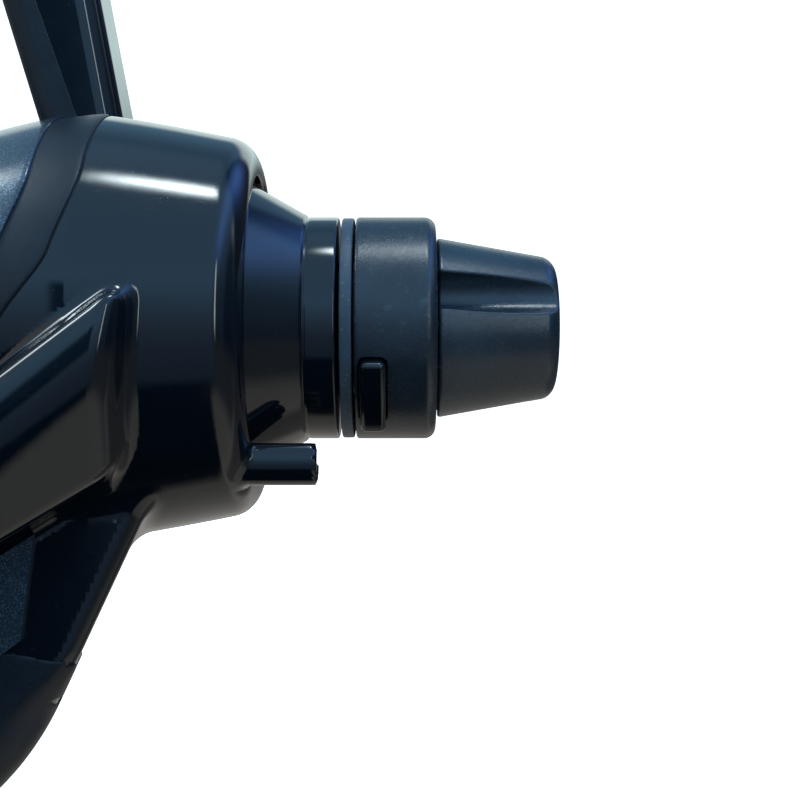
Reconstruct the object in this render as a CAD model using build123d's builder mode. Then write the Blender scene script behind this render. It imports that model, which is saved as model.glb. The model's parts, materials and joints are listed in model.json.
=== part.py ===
from build123d import *
from math import cos, radians, sin, sqrt, tan

# A closed-face reel that hangs under the rod by its foot, with its drag at the rear.
# Millimetres. +X is the rear, where the drag knob is, and +Z is up. The origin is the middle
# of the foot's top face. The spool, the drum, the tail and the nose share one axis along X.
# Distances called w are heights above that axis.

# ---- Driving dimensions ----
axis_drop = 66.0            # from the foot's top face down to the spool axis
axis_z = -axis_drop

run_gap = 0.05              # radial clearance of a running fit
seam = 0.15                 # gap between neighbouring mouldings
part_gap = 0.3              # gap between pieces that move past each other

# Drum and gear case
drum_radius = 25.0
drum_rear_radius = 22.5
drum_rear_x = 38.4
rim_length = 3.2            # the rounded rim at the drum's rear edge
seam_x = 20.8               # where the side covers meet the drum
waist_radius = 20.5
waist_x = 0.0
flare_x = -14.0
case_front_x = -25.0
flare_radius = 29.0
wall = 2.2
rear_opening = 18.0
rim_land = 0.6              # from the rear opening to the rounded rim

belly_x, belly_w = -13.3, -29.5
belly_radius = 31.3
belly_tangent = -25.0       # degrees, where the belly's round part starts
guard_angle = -30.0         # degrees, the upper end of the rear guard
guard_thickness = 1.15
belly_top_w = -10.0
belly_join_w = -20.0
belly_near_y, belly_far_y = -14.5, 12.5
belly_round = 2.2

crank_x, crank_w = -4.0, -26.0
bulge_y = -28.0
bulge_hub_w = -28.9
bulge_hub_radius = 5.3
bulge_top = (26.2, 1.0)
bulge_bottom = (25.1, -16.7)
bulge_round = 1.4
hub_boss_radius = 11.0
hub_boss_y = -31.5
bush_boss_length = 7.0      # from the bulge's near face inwards
idler_boss_radius = 4.2
idler_boss_gap = 1.2
axle_seat_radius = 19.3     # where the idler's axle ends in the far wall
lug_w, lug_height = 16.5, 5.5
lug_length, lug_width = 6.0, 12.0
rear_web_start, rear_web_end = 30.0, 33.0

boss_angle = 234.7          # degrees round the axis, from +Y towards +Z
boss_orbit = 19.05
boss_radius = 2.6
boss_length = 7.4
tail_screw_radius = 1.0
tail_screw_length = 12.0
tail_screw_head = 1.7
tail_screw_head_depth = 1.3

# Side covers and panels
cover_thickness = 0.9
cover_front_x = -13.0
panel_rear_x = 14.4
panel_front_x = -12.4
panel_thickness = 0.6
panel_margin = 7.0          # degrees between a panel's edge and its cover's edge
top_split = 0.35            # degrees from the top line to each cover's edge

side_plate_thickness = 2.2
lower_panel_thickness = 0.8
lower_panel_outline = [
    (15.2, -22.8), (13.7, -34.8), (11.3, -36.6), (-23.5, -44.0), (-23.5, -24.0), (-15.5, -24.0),
]
plate_screw_orbit = 27.1    # from the belly's centre
plate_screw_angles = (-28.0, -52.0, -80.0, -108.0)
plate_screw_radius = 1.0
plate_screw_head = 1.9
plate_screw_head_depth = 1.0
plate_screw_length = 4.5    # into the housing
plate_boss_radius = 2.3
plate_skin = 0.8            # what the far crank bush's seat leaves of the plate
far_bush_step = 1.5         # how far that seat stands into the case

# Stem and foot
foot_length = 62.0
foot_width = 12.5
foot_thickness = 4.0
tang_thickness = 1.6
tang_length = 19.0
stem_base_w = 20.0
stem_front_base_x, stem_rear_base_x = 14.0, 23.4
stem_front_top_x, stem_rear_top_x = 1.0, 15.4
stem_seam_base_x, stem_seam_top_x = 19.1, 4.2
stem_width = 12.0
stem_round = 2.6

# Tail: cone, seat ring, index ring, collar and knob
flange_thickness = 2.0
flange_radius = 19.4
cone_radius = 17.5
tail_radius = 13.2
cone_end_x = 44.0
seat_end_x = 47.8
tube_radius = 8.2
tube_bore = 6.6
tube_end_x = 59.0
tail_wall_x = 40.0
tail_wall_thickness = 1.6
groove = 0.4
index_ring_width = 1.4
index_ring_radius = 13.1
collar_start_x = 49.85
collar_end_x = 59.2
collar_round = 1.2
tab_start, tab_arc = 108.0, 38.0     # degrees from the top, towards the near side
tab_front_x = 50.5
tab_width = 2.9
tab_height = 1.8
tab_root = 11.4
knob_start_x = 59.4
knob_root_radius = 10.75
knob_tip_radius = 8.3
knob_length = 13.9
knob_round = 1.7
knob_dome = 0.3
flute_count = 3
flute_angle = 158.0
flute_floor = 7.8
flute_radius = 2.3
spigot_length = 2.9

# Shaft, spool and drag
shaft_radius = 2.0
shaft_front_x = -58.0
shaft_end_x = 47.4
shaft_flat = 1.5            # half the width across the two flats
flats_start_x = 42.0
bush_wall = 1.6
friction_thickness = 0.8
keyed_thickness = 0.6
keyed_count = 3
pressure_thickness = 1.2
spring_length = 2.4
nut_length = 2.8
ear_width = 2.0
ear_radius = 7.5
screw_radius = 2.5
spool_rear_x, spool_front_x = -41.0, -54.0
spool_radius = 24.5
spool_hub_radius = 15.0
spool_flange = 1.3

# Rotor and pinion
pinion_radius = 3.2
pinion_rear_x, pinion_front_x = -12.6, -38.0
rotor_rear_x = -31.2
rotor_front_x = -56.0
rotor_radius = 27.0
rotor_wall = 1.4
rotor_web = 1.8
rotor_hub_radius = 6.5
pickup_radius = 0.9
pickup_x = -52.0

# Front plate, clutch and cover
plate_thickness = 3.0
plate_radius = 31.8
plate_spigot = 5.0
clutch_rear_x = -18.5
clutch_length = 5.0
clutch_radius = 8.0
clutch_roller = 1.0
clutch_rollers = 8
cover_wall = 1.9
cover_shoulder_x = -57.0
cover_nose_x = -74.0
nose_radius = 9.4
eyelet_radius = 7.0
eyelet_bore = 4.2
eyelet_length = 5.0
nose_depth = 5.5

# Gears
spur_module = 26.0 / 30.0
crank_teeth, idler_teeth = 40, 20
spur_width = 3.6
face_module = 0.7
face_teeth, pinion_teeth = 30, 12
face_tooth_width = 0.75
face_plate = 2.0
face_ring_width = 3.0
pinion_tooth_length = 3.4
tooth_share = 0.36          # tooth thickness as a share of the pitch, at the pitch circle
addendum, dedendum = 0.7, 0.95

# Crank and handle
crank_shaft_radius = 3.0
crank_bush_radius = 5.0
arm_length = 45.0
arm_thickness = 4.0
arm_hub_radius = 7.0
arm_end_radius = 5.2
arm_clearance = 1.0         # from the nose's widest circle
shaft_end_radius = 2.2
spindle_radius = 2.0
knob_reach = 24.0
handle_radius = 8.2
handle_waist = 6.2
handle_cap_radius = 4.5

# Trigger
pivot_x, pivot_w = -18.5, 19.5
pivot_radius = 1.0
trigger_width = 4.6
pad_width = 10.0
release_w = 15.5
release_radius = 1.2

# ---- Places worked out from the sizes above ----
spool_axis = Axis((0, 0, axis_z), (1, 0, 0))
case_inner_step = wall + cover_thickness
drum_rim_x = drum_rear_x - rim_length
plate_front_x = case_front_x - plate_thickness
arm_start_y = -plate_radius - arm_clearance
arm_end_y = arm_start_y - arm_thickness
plate_y = belly_far_y + side_plate_thickness
flange_x = drum_rear_x - wall
index_ring_x = seat_end_x + groove
face_radius = face_module * face_teeth / 2
pinion_pitch = face_module * pinion_teeth / 2
face_root_y = pinion_pitch + face_module * addendum + part_gap
face_tip_y = pinion_pitch - face_module * addendum
idler_y = face_root_y + face_plate
friction_start_x = tail_wall_x + tail_wall_thickness + run_gap
stack_step = friction_thickness + keyed_thickness + 2 * run_gap
pressure_x = friction_start_x + keyed_count * stack_step + friction_thickness + run_gap
spring_x = pressure_x + pressure_thickness + run_gap
nut_x = spring_x + spring_length + run_gap
knob_end_x = knob_start_x + knob_length
handle_w = crank_w - arm_length
crank_shaft_far_y = plate_y - plate_skin - part_gap


def side_plane(y):
    """A plane across Y at y. Its x is X, its y is the height above the spool axis, and it faces -Y."""
    return Plane(origin=(0, y, axis_z), x_dir=(1, 0, 0), z_dir=(0, -1, 0))


def side_plane_at(x, w, y):
    """The same plane with its own origin moved to x and w."""
    return Plane(origin=(x, y, axis_z + w), x_dir=(1, 0, 0), z_dir=(0, -1, 0))


def cross_plane(x):
    """A plane across the spool axis at x. Its x is Y, its y is up, and it faces +X."""
    return Plane(origin=(x, 0, axis_z), x_dir=(0, 1, 0), z_dir=(1, 0, 0))


def save(piece, name):
    piece.part.label = name
    export_step(piece.part, f"parts/{name}.step")


def polar(radius, angle, x=0.0, w=0.0):
    return (x + radius * cos(radians(angle)), w + radius * sin(radians(angle)))


def turned(points, arc=360.0, start=0.0):
    """A piece turned about the spool axis from its (x, radius) section.

    start and arc are degrees from the top, towards the near side.
    """
    with BuildPart() as piece:
        with BuildSketch(side_plane(0)):
            with BuildLine():
                Polyline(*points, close=True)
            make_face()
        revolve(axis=spool_axis, revolution_arc=arc)
    return piece.part.rotate(spool_axis, start)


def ring(x_start, x_end, inner, outer):
    """A plain ring about the spool axis."""
    with BuildPart() as piece:
        with BuildSketch(cross_plane(x_start)):
            Circle(outer)
            Circle(inner, mode=Mode.SUBTRACT)
        extrude(amount=x_end - x_start)
    return piece


def rod(x, w, y_start, y_end, radius):
    """A round bar along Y."""
    with BuildPart() as piece:
        with BuildSketch(side_plane(y_start)):
            with Locations((x, w)):
                Circle(radius)
        extrude(amount=y_start - y_end)
    return piece.part


def gear_points(teeth, module, phase):
    """The outline of a spur gear with straight tooth flanks."""
    pitch = module * teeth / 2
    step = 360 / teeth
    half = tooth_share * step / 2
    top, root = pitch + addendum * module, pitch - dedendum * module
    points = []
    for k in range(teeth):
        centre = phase + k * step
        for radius, offset in ((root, -1.35), (top, -0.6), (top, 0.6), (root, 1.35)):
            points.append(polar(radius, centre + offset * half))
    return points


# ---- Housing ----
def case_radius(x):
    """Outer radius of the drum and gear case at x, rear of the front flare."""
    if x >= seam_x:
        share = (x - seam_x) / (drum_rim_x - seam_x)
        return drum_radius + share * (drum_rear_radius - drum_radius)
    share = min(1.0, (seam_x - x) / (seam_x - waist_x))
    return drum_radius + share * (waist_radius - drum_radius)


def case_outer():
    rim_drop = drum_rear_radius - rear_opening - rim_land
    rim_end = (drum_rear_x, rear_opening + rim_land)
    with BuildPart() as piece:
        with BuildSketch(side_plane(0)):
            with BuildLine():
                Polyline(
                    (drum_rear_x, 0), (case_front_x, 0), (case_front_x, flare_radius),
                    (flare_x, waist_radius), (waist_x, waist_radius), (seam_x, drum_radius),
                    (drum_rim_x, drum_rear_radius),
                )
                rim_mid = (drum_rim_x + 0.77 * rim_length, drum_rear_radius - 0.32 * rim_drop)
                ThreePointArc((drum_rim_x, drum_rear_radius), rim_mid, rim_end)
                Line(rim_end, (drum_rear_x, 0))
            make_face()
        revolve(axis=spool_axis)
    return piece.part


def case_inner():
    behind_x = drum_rim_x - 3
    return turned([
        (case_front_x - 1, 0), (case_front_x - 1, flare_radius - wall + 0.8),
        (flare_x, waist_radius - case_inner_step), (waist_x, waist_radius - case_inner_step),
        (seam_x, drum_radius - case_inner_step), (behind_x, case_radius(behind_x) - wall),
        (flange_x, flange_radius + seam), (flange_x, 0),
    ])


def belly_solid(inset, near_y, far_y, rounding):
    """The deep part of the gear case that holds the crank gear."""
    centre = (belly_x, belly_w)
    radius = belly_radius - inset
    reach = sqrt(radius**2 - (case_front_x - belly_x) ** 2)
    tangent = polar(radius, belly_tangent, *centre)
    rise = belly_join_w - tangent[1]
    join_x = tangent[0] - rise * tan(radians(belly_tangent))
    with BuildPart() as piece:
        with BuildSketch(side_plane(far_y)):
            with BuildLine():
                Polyline(
                    (case_front_x, belly_w - reach), (case_front_x, belly_top_w), (join_x, belly_top_w),
                    (join_x, belly_join_w), tangent,
                )
                ThreePointArc(tangent, polar(radius, -70, *centre), (case_front_x, belly_w - reach))
            make_face()
        extrude(amount=far_y - near_y)
        if rounding:
            outline = piece.faces().sort_by(Axis.Y)[0].edges()
            fillet(outline.filter_by(lambda e: e.center().Z < axis_z + belly_join_w - 1
                                     and e.center().X > case_front_x + 1), rounding)
    return piece.part


def guard_zone(inner, start_angle):
    """Everything further than inner from the belly's centre, below the guard's upper end."""
    centre = (belly_x, belly_w)
    with BuildPart() as zone:
        with BuildSketch(side_plane(2 * belly_far_y)):
            with BuildLine():
                Polyline(
                    centre, polar(3 * belly_radius, start_angle, *centre),
                    (3 * belly_radius, -4 * belly_radius), (-3 * belly_radius, -4 * belly_radius),
                    (-3 * belly_radius, belly_w), close=True,
                )
            make_face()
            with Locations(centre):
                Circle(inner, mode=Mode.SUBTRACT)
        extrude(amount=4 * belly_far_y)
    return zone.part


def bulge_solid(inset, near_y, far_y, rounding):
    """The raised housing of the crank's drive on the near side."""
    with BuildPart() as piece:
        with BuildSketch(side_plane(far_y)):
            with Locations((crank_x, bulge_hub_w)):
                Circle(bulge_hub_radius - inset)
            with BuildLine():
                Line((bulge_top[0] - inset, bulge_top[1] - 1.2 * inset),
                     (bulge_bottom[0] - inset, bulge_bottom[1] + 1.2 * inset))
            make_hull()
        extrude(amount=far_y - near_y)
        if rounding:
            fillet(piece.faces().sort_by(Axis.Y)[0].edges(), rounding)
    return piece.part


def boss_centre():
    return polar(boss_orbit, boss_angle)


def plate_screw_places():
    return [polar(plate_screw_orbit, angle, belly_x, belly_w) for angle in plate_screw_angles]


def cover_band(inner_offset, outer_offset, x_front, x_rear, start, arc):
    """Part of a shell that follows the gear case between two distances from its surface."""
    with BuildPart() as piece:
        with BuildSketch(side_plane(0)):
            with BuildLine():
                Polyline(
                    (x_rear, case_radius(x_rear) + outer_offset), (waist_x, waist_radius + outer_offset),
                    (x_front, waist_radius + outer_offset), (x_front, waist_radius + inner_offset),
                    (waist_x, waist_radius + inner_offset), (x_rear, case_radius(x_rear) + inner_offset),
                    close=True,
                )
            make_face()
        revolve(axis=spool_axis, revolution_arc=arc)
    return piece.part.rotate(spool_axis, start)


def trigger_slot():
    with BuildPart() as piece:
        with BuildSketch(Plane.XY.offset(axis_z + 12)):
            with Locations((pivot_x + 0.5, 0)):
                Rectangle(13, trigger_width + 2 * part_gap)
        extrude(amount=20)
    return piece.part


def make_housing():
    with BuildPart() as housing:
        add(case_outer())
        add(belly_solid(0, belly_near_y, belly_far_y, belly_round))
        add(bulge_solid(0, bulge_y, belly_near_y + 4, bulge_round))
        add(rod(crank_x, crank_w, belly_near_y + 4, hub_boss_y, hub_boss_radius))
        add(guard_zone(belly_radius - guard_thickness, guard_angle), mode=Mode.SUBTRACT)
        add(case_inner(), mode=Mode.SUBTRACT)
        inset = wall + guard_thickness
        add(belly_solid(inset, belly_near_y + wall, belly_far_y + 0.01, 0), mode=Mode.SUBTRACT)
        add(bulge_solid(wall, bulge_y + wall, belly_near_y + 5, 0), mode=Mode.SUBTRACT)
        # The near crank bush sits in a boss inside the bulge.
        add(rod(crank_x, crank_w, bulge_y + bush_boss_length, bulge_y, crank_bush_radius + bush_wall))
        add(rod(crank_x, crank_w, 0, hub_boss_y - 1, crank_bush_radius), mode=Mode.SUBTRACT)
        # The idler's axle stands on a boss on the far wall, and the trigger's pin crosses two lugs.
        boss_start_y = idler_y + spur_width + idler_boss_gap
        add(rod(crank_x, 0, waist_radius - wall, boss_start_y, idler_boss_radius))
        add(rod(crank_x, 0, axle_seat_radius, 0, shaft_radius), mode=Mode.SUBTRACT)
        with BuildSketch(Plane.XY.offset(axis_z + lug_w)):
            with Locations((pivot_x, 0)):
                Rectangle(lug_length, lug_width)
        extrude(amount=lug_height)
        add(trigger_slot(), mode=Mode.SUBTRACT)
        add(rod(pivot_x, pivot_w, 5.6, -5.6, pivot_radius), mode=Mode.SUBTRACT)
        # The tail's screw boss, and the rear opening beside it.
        with BuildSketch(cross_plane(flange_x + 0.5)):
            with Locations(boss_centre()):
                Circle(boss_radius)
        extrude(amount=drum_rear_x + boss_length - flange_x - 0.5)
        with BuildSketch(cross_plane(flange_x - 1)):
            Circle(rear_opening)
        extrude(amount=wall + 2, mode=Mode.SUBTRACT)
        with BuildSketch(cross_plane(drum_rear_x + boss_length - tail_screw_head_depth)):
            with Locations(boss_centre()):
                Circle(tail_screw_head + seam)
        extrude(amount=tail_screw_head_depth + 1, mode=Mode.SUBTRACT)
        with BuildSketch(cross_plane(drum_rear_x + boss_length - tail_screw_length)):
            with Locations(boss_centre()):
                Circle(tail_screw_radius)
        extrude(amount=tail_screw_length, mode=Mode.SUBTRACT)
        # Screw bosses for the side plate, the web round the rear bush, and the side covers' pocket.
        for x, w in plate_screw_places():
            add(rod(x, w, belly_far_y, belly_far_y - plate_screw_length, plate_boss_radius))
            add(rod(x, w, belly_far_y + wall, belly_far_y - plate_screw_length, plate_screw_radius),
                mode=Mode.SUBTRACT)
        web_radius = case_radius(rear_web_end) - wall / 2
        add(ring(rear_web_start, rear_web_end, shaft_radius + run_gap + bush_wall, web_radius).part)
        add(cover_band(-cover_thickness, 1, cover_front_x - seam, seam_x, -90, 180), mode=Mode.SUBTRACT)
    save(housing, "housing")


make_housing()


def make_tail_screw():
    with BuildPart() as tail_screw:
        with BuildSketch(cross_plane(drum_rear_x + boss_length - tail_screw_length)):
            with Locations(boss_centre()):
                Circle(tail_screw_radius)
        extrude(amount=tail_screw_length - tail_screw_head_depth)
        with BuildSketch(cross_plane(drum_rear_x + boss_length - tail_screw_head_depth)):
            with Locations(boss_centre()):
                Circle(tail_screw_head)
                Rectangle(0.5, 2.2, mode=Mode.SUBTRACT)
                Rectangle(2.2, 0.5, mode=Mode.SUBTRACT)
        extrude(amount=tail_screw_head_depth * 0.8)
    save(tail_screw, "tail_screw")


make_tail_screw()


# ---- Side covers and panels ----
def make_covers():
    arc = 90 - top_split
    for name, start in (("near", top_split), ("far", -90.0)):
        with BuildPart() as cover:
            add(cover_band(-cover_thickness, 0, cover_front_x, seam_x - seam, start, arc))
            add(trigger_slot(), mode=Mode.SUBTRACT)
        save(cover, f"side_cover_{name}")
        with BuildPart() as panel:
            add(cover_band(
                0, panel_thickness, panel_front_x, panel_rear_x,
                start + panel_margin, arc - 2 * panel_margin,
            ))
            with BuildSketch(Plane.XY.offset(axis_z + waist_radius)):
                with Locations((stem_rear_base_x / 2, 0)):
                    Rectangle(stem_rear_base_x, stem_width + 2 * part_gap)
            extrude(amount=drum_radius, mode=Mode.SUBTRACT)
        save(panel, f"side_panel_{name}")


def make_lower_panel():
    with BuildPart() as lower_panel:
        with BuildSketch(side_plane(belly_near_y)):
            with BuildLine():
                Polyline(*lower_panel_outline, close=True)
            make_face()
        extrude(amount=lower_panel_thickness)
        add(rod(crank_x, crank_w, 0, hub_boss_y - 1, hub_boss_radius + seam), mode=Mode.SUBTRACT)
        add(bulge_solid(-seam, bulge_y - 1, 0, 0), mode=Mode.SUBTRACT)
        add(belly_solid(belly_round + 0.5, bulge_y, 0, 0), mode=Mode.INTERSECT)
    save(lower_panel, "lower_panel")


def make_rear_guard():
    """The bumper that wraps the belly's round bottom, flush with the case above it."""
    with BuildPart() as rear_guard:
        add(belly_solid(0, belly_near_y, plate_y, belly_round))
        add(guard_zone(belly_radius - guard_thickness + run_gap, guard_angle - 0.3), mode=Mode.INTERSECT)
    save(rear_guard, "rear_guard")


def make_side_plate():
    """The far wall of the gear case, with the seat of the far crank bush."""
    with BuildPart() as side_plate:
        add(belly_solid(seam, belly_far_y, plate_y, 0))
        add(guard_zone(belly_radius - guard_thickness, guard_angle), mode=Mode.SUBTRACT)
        seat_y = belly_far_y - far_bush_step
        add(rod(crank_x, crank_w, plate_y, seat_y, crank_bush_radius + bush_wall))
        add(rod(crank_x, crank_w, plate_y - plate_skin, 0, crank_bush_radius), mode=Mode.SUBTRACT)
        add(turned([
            (case_front_x, 0), (case_front_x, flare_radius + seam), (flare_x, waist_radius + seam),
            (waist_x, waist_radius + seam), (seam_x, drum_radius + seam),
            (drum_rear_x, drum_radius + seam), (drum_rear_x, 0),
        ]), mode=Mode.SUBTRACT)
        for x, w in plate_screw_places():
            add(rod(x, w, plate_y + 1, 0, plate_screw_radius + seam), mode=Mode.SUBTRACT)
            add(rod(x, w, plate_y + 1, plate_y - plate_screw_head_depth, plate_screw_head + seam),
                mode=Mode.SUBTRACT)
    save(side_plate, "side_plate")
    with BuildPart() as side_plate_screws:
        for x, w in plate_screw_places():
            head_y = plate_y - plate_screw_head_depth
            add(rod(x, w, head_y + 0.8 * plate_screw_head_depth, head_y, plate_screw_head))
            add(rod(x, w, head_y, belly_far_y - plate_screw_length, plate_screw_radius))
    save(side_plate_screws, "side_plate_screws")


make_covers()
make_lower_panel()
make_rear_guard()
make_side_plate()


# ---- Stem and foot ----
def case_below(gap):
    return turned([
        (case_front_x, 0), (case_front_x, waist_radius + gap), (waist_x, waist_radius + gap),
        (seam_x, drum_radius + gap), (drum_rear_x, drum_rear_radius + gap), (drum_rear_x, 0),
    ])


def stem_block(front_base, rear_base, front_top, rear_top, rounding):
    top_w = axis_drop - foot_thickness
    with BuildPart() as block:
        with BuildSketch(side_plane(stem_width / 2)):
            with BuildLine():
                Polyline(
                    (front_base, stem_base_w), (rear_base, stem_base_w), (rear_top, top_w),
                    (front_top, top_w), close=True,
                )
            make_face()
        extrude(amount=stem_width)
        fillet(rounding(block.edges().filter_by(lambda e: e.length > 30)), stem_round)
        add(case_below(0.02), mode=Mode.SUBTRACT)
    return block.part


def make_stem():
    with BuildPart() as stem:
        add(stem_block(
            stem_seam_base_x, stem_rear_base_x, stem_seam_top_x, stem_rear_top_x,
            lambda edges: edges.sort_by(Axis.X)[-2:],
        ))
        # The foot tapers to a thin tang at each end.
        with BuildSketch(Plane.XZ.offset(-foot_width / 2)):
            with BuildLine():
                Polyline(
                    (-foot_length / 2, 0), (foot_length / 2, 0), (foot_length / 2, -tang_thickness),
                    (foot_length / 2 - tang_length, -foot_thickness),
                    (tang_length - foot_length / 2, -foot_thickness),
                    (-foot_length / 2, -tang_thickness), close=True,
                )
            make_face()
        extrude(amount=foot_width)
        ends = stem.edges().filter_by(Axis.Z).filter_by(lambda e: abs(e.center().X) > foot_length / 2 - 1)
        fillet(ends, foot_width / 2 - 1)
    save(stem, "stem")
    with BuildPart() as stem_cover:
        add(stem_block(
            stem_front_base_x, stem_seam_base_x - 0.01, stem_front_top_x, stem_seam_top_x - 0.01,
            lambda edges: edges.sort_by(Axis.X)[:2],
        ))
    save(stem_cover, "stem_cover")


make_stem()


# ---- Tail ----
def make_tail():
    with BuildPart() as tail_cone:
        add(turned([
            (flange_x - flange_thickness, flange_radius), (flange_x, flange_radius),
            (flange_x, cone_radius), (flange_x + 0.6, cone_radius), (cone_end_x, tail_radius + 0.2),
            (cone_end_x + 0.3, tail_radius - 0.15), (cone_end_x + 0.6, tail_radius),
            (seat_end_x, tail_radius), (seat_end_x, tube_radius), (tube_end_x, tube_radius),
            (tube_end_x, tube_bore), (tail_wall_x + tail_wall_thickness, tube_bore),
            (tail_wall_x + tail_wall_thickness, shaft_radius + run_gap),
            (tail_wall_x, shaft_radius + run_gap), (tail_wall_x, 12.0),
            (flange_x - flange_thickness, cone_radius - wall),
        ]))
        rim = tail_cone.edges().filter_by(GeomType.CIRCLE).filter_by(
            lambda e: abs(e.radius - tail_radius) < 0.01 and abs(e.center().X - seat_end_x) < 0.1
        )
        fillet(rim, 0.5)
        with BuildSketch(cross_plane(flange_x - flange_thickness - 1)):
            with Locations(boss_centre()):
                Circle(tail_screw_radius + seam)
        extrude(amount=flange_thickness + 1, mode=Mode.SUBTRACT)
        # Two slots in the tube keep the drag nut from turning.
        with BuildSketch(cross_plane(nut_x - 1.2)):
            Rectangle(2 * ear_radius + 0.3, ear_width + 4 * run_gap)
            Circle(tube_bore - 0.5, mode=Mode.SUBTRACT)
        extrude(amount=tube_end_x - nut_x + 2, mode=Mode.SUBTRACT)
    save(tail_cone, "tail_cone")
    index_ring = ring(index_ring_x, index_ring_x + index_ring_width, tube_radius + run_gap, index_ring_radius)
    with BuildPart() as finished_ring:
        add(index_ring.part)
        fillet(finished_ring.edges().filter_by(GeomType.CIRCLE).sort_by(SortBy.RADIUS)[-2:], 0.3)
    save(finished_ring, "index_ring")


def tab_block(gap, top):
    return turned([
        (tab_front_x - gap, tab_root - gap), (tab_front_x - gap, top),
        (tab_front_x + tab_width + gap, top), (tab_front_x + tab_width + gap, tab_root - gap),
    ], tab_arc + 2 * gap * 4, tab_start - gap * 4)


def make_collar():
    with BuildPart() as selector_collar:
        add(ring(collar_start_x, collar_end_x, tube_radius + run_gap, tail_radius).part)
        outer = selector_collar.edges().filter_by(GeomType.CIRCLE).sort_by(SortBy.RADIUS)[-2:]
        fillet(outer.sort_by(Axis.X)[-1], collar_round)
        front = selector_collar.edges().filter_by(GeomType.CIRCLE).filter_by(
            lambda e: abs(e.center().X - collar_start_x) < 0.01 and e.radius > tail_radius - 0.1
        )
        fillet(front, 0.35)
        add(tab_block(0.02, tail_radius + 1), mode=Mode.SUBTRACT)
    save(selector_collar, "selector_collar")
    with BuildPart() as selector_tab:
        add(tab_block(0, tail_radius + tab_height))
        top = selector_tab.faces().filter_by(GeomType.CYLINDER).sort_by(lambda f: f.area)[-1]
        fillet(top.edges(), 0.7)
    save(selector_tab, "selector_tab")


def make_knob():
    with BuildPart() as drag_knob:
        with BuildSketch(side_plane(0)):
            with BuildLine():
                Polyline(
                    (knob_end_x - 0.15, knob_tip_radius), (knob_start_x, knob_root_radius),
                    (knob_start_x, tube_bore - run_gap), (knob_start_x - spigot_length, tube_bore - run_gap),
                    (knob_start_x - spigot_length, 0), (knob_end_x + knob_dome, 0),
                )
                ThreePointArc(
                    (knob_end_x + knob_dome, 0), (knob_end_x + knob_dome * 0.72, knob_tip_radius / 2),
                    (knob_end_x - 0.15, knob_tip_radius),
                )
            make_face()
        revolve(axis=spool_axis)
        rim = drag_knob.edges().filter_by(GeomType.CIRCLE).filter_by(
            lambda e: abs(e.radius - knob_tip_radius) < 0.05
        )
        fillet(rim, knob_round)
        with BuildSketch(cross_plane(knob_start_x + 0.02)):
            with PolarLocations(flute_floor + flute_radius, flute_count, flute_angle, rotate=True):
                Circle(flute_radius)
                with Locations((2, 0)):
                    Rectangle(4, 2 * flute_radius)
        extrude(amount=knob_length + 2, mode=Mode.SUBTRACT)
        with BuildSketch(cross_plane(knob_start_x - spigot_length)):
            Circle(screw_radius)
        extrude(amount=spigot_length + 4, mode=Mode.SUBTRACT)
    save(drag_knob, "drag_knob")
    with BuildPart() as drag_screw:
        with BuildSketch(cross_plane(nut_x + run_gap)):
            Circle(screw_radius)
        extrude(amount=knob_start_x + 4 - nut_x - run_gap)
    save(drag_screw, "drag_screw")


make_tail()
make_collar()
make_knob()


# ---- Shaft and drag ----
def flatted(radius):
    """The shaft's section where keyed washers sit on it, in the plane across the axis."""
    Circle(radius)
    Rectangle(2 * shaft_flat, 3 * radius, mode=Mode.INTERSECT)


def make_drag():
    with BuildPart() as main_shaft:
        with BuildSketch(cross_plane(shaft_front_x)):
            Circle(shaft_radius)
        extrude(amount=flats_start_x - shaft_front_x)
        with BuildSketch(cross_plane(flats_start_x)):
            flatted(shaft_radius)
        extrude(amount=shaft_end_x - flats_start_x)
    save(main_shaft, "main_shaft")
    with BuildPart() as rear_bush:
        inner = shaft_radius + run_gap
        add(ring(rear_web_start - 0.5, rear_web_end + 0.5, inner, inner + bush_wall).part)
    save(rear_bush, "rear_bush")
    with BuildPart() as friction_washers:
        for k in range(keyed_count + 1):
            with BuildSketch(cross_plane(friction_start_x + k * stack_step)):
                Circle(tube_bore - run_gap)
                Circle(shaft_radius + part_gap, mode=Mode.SUBTRACT)
            extrude(amount=friction_thickness)
    save(friction_washers, "friction_washers")
    with BuildPart() as keyed_washers:
        for k in range(keyed_count):
            start = friction_start_x + friction_thickness + run_gap + k * stack_step
            with BuildSketch(cross_plane(start)):
                Circle(tube_bore - 2 * part_gap)
                with BuildSketch(cross_plane(start), mode=Mode.SUBTRACT):
                    flatted(shaft_radius)
            extrude(amount=keyed_thickness)
    save(keyed_washers, "keyed_washers")
    plate_end = pressure_x + pressure_thickness
    save(ring(pressure_x, plate_end, shaft_radius + part_gap, tube_bore - run_gap), "pressure_plate")
    with BuildPart() as drag_spring:
        # Four dished spring washers, nested in two opposed pairs.
        rise, leaf, bore, edge = 0.55, 0.5, 3.2, 5.9
        for start, slope in ((0, rise), (2 * rise + leaf / 2, -rise)):
            x = spring_x + start
            add(turned([(x, bore), (x + slope, edge), (x + slope + leaf, edge), (x + leaf, bore)]))
    save(drag_spring, "drag_spring")
    with BuildPart() as drag_nut:
        with BuildSketch(cross_plane(nut_x)):
            Circle(tube_bore - 2 * run_gap)
            Rectangle(2 * ear_radius, ear_width)
            Circle(screw_radius + run_gap, mode=Mode.SUBTRACT)
        extrude(amount=nut_length)
    save(drag_nut, "drag_nut")


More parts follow.
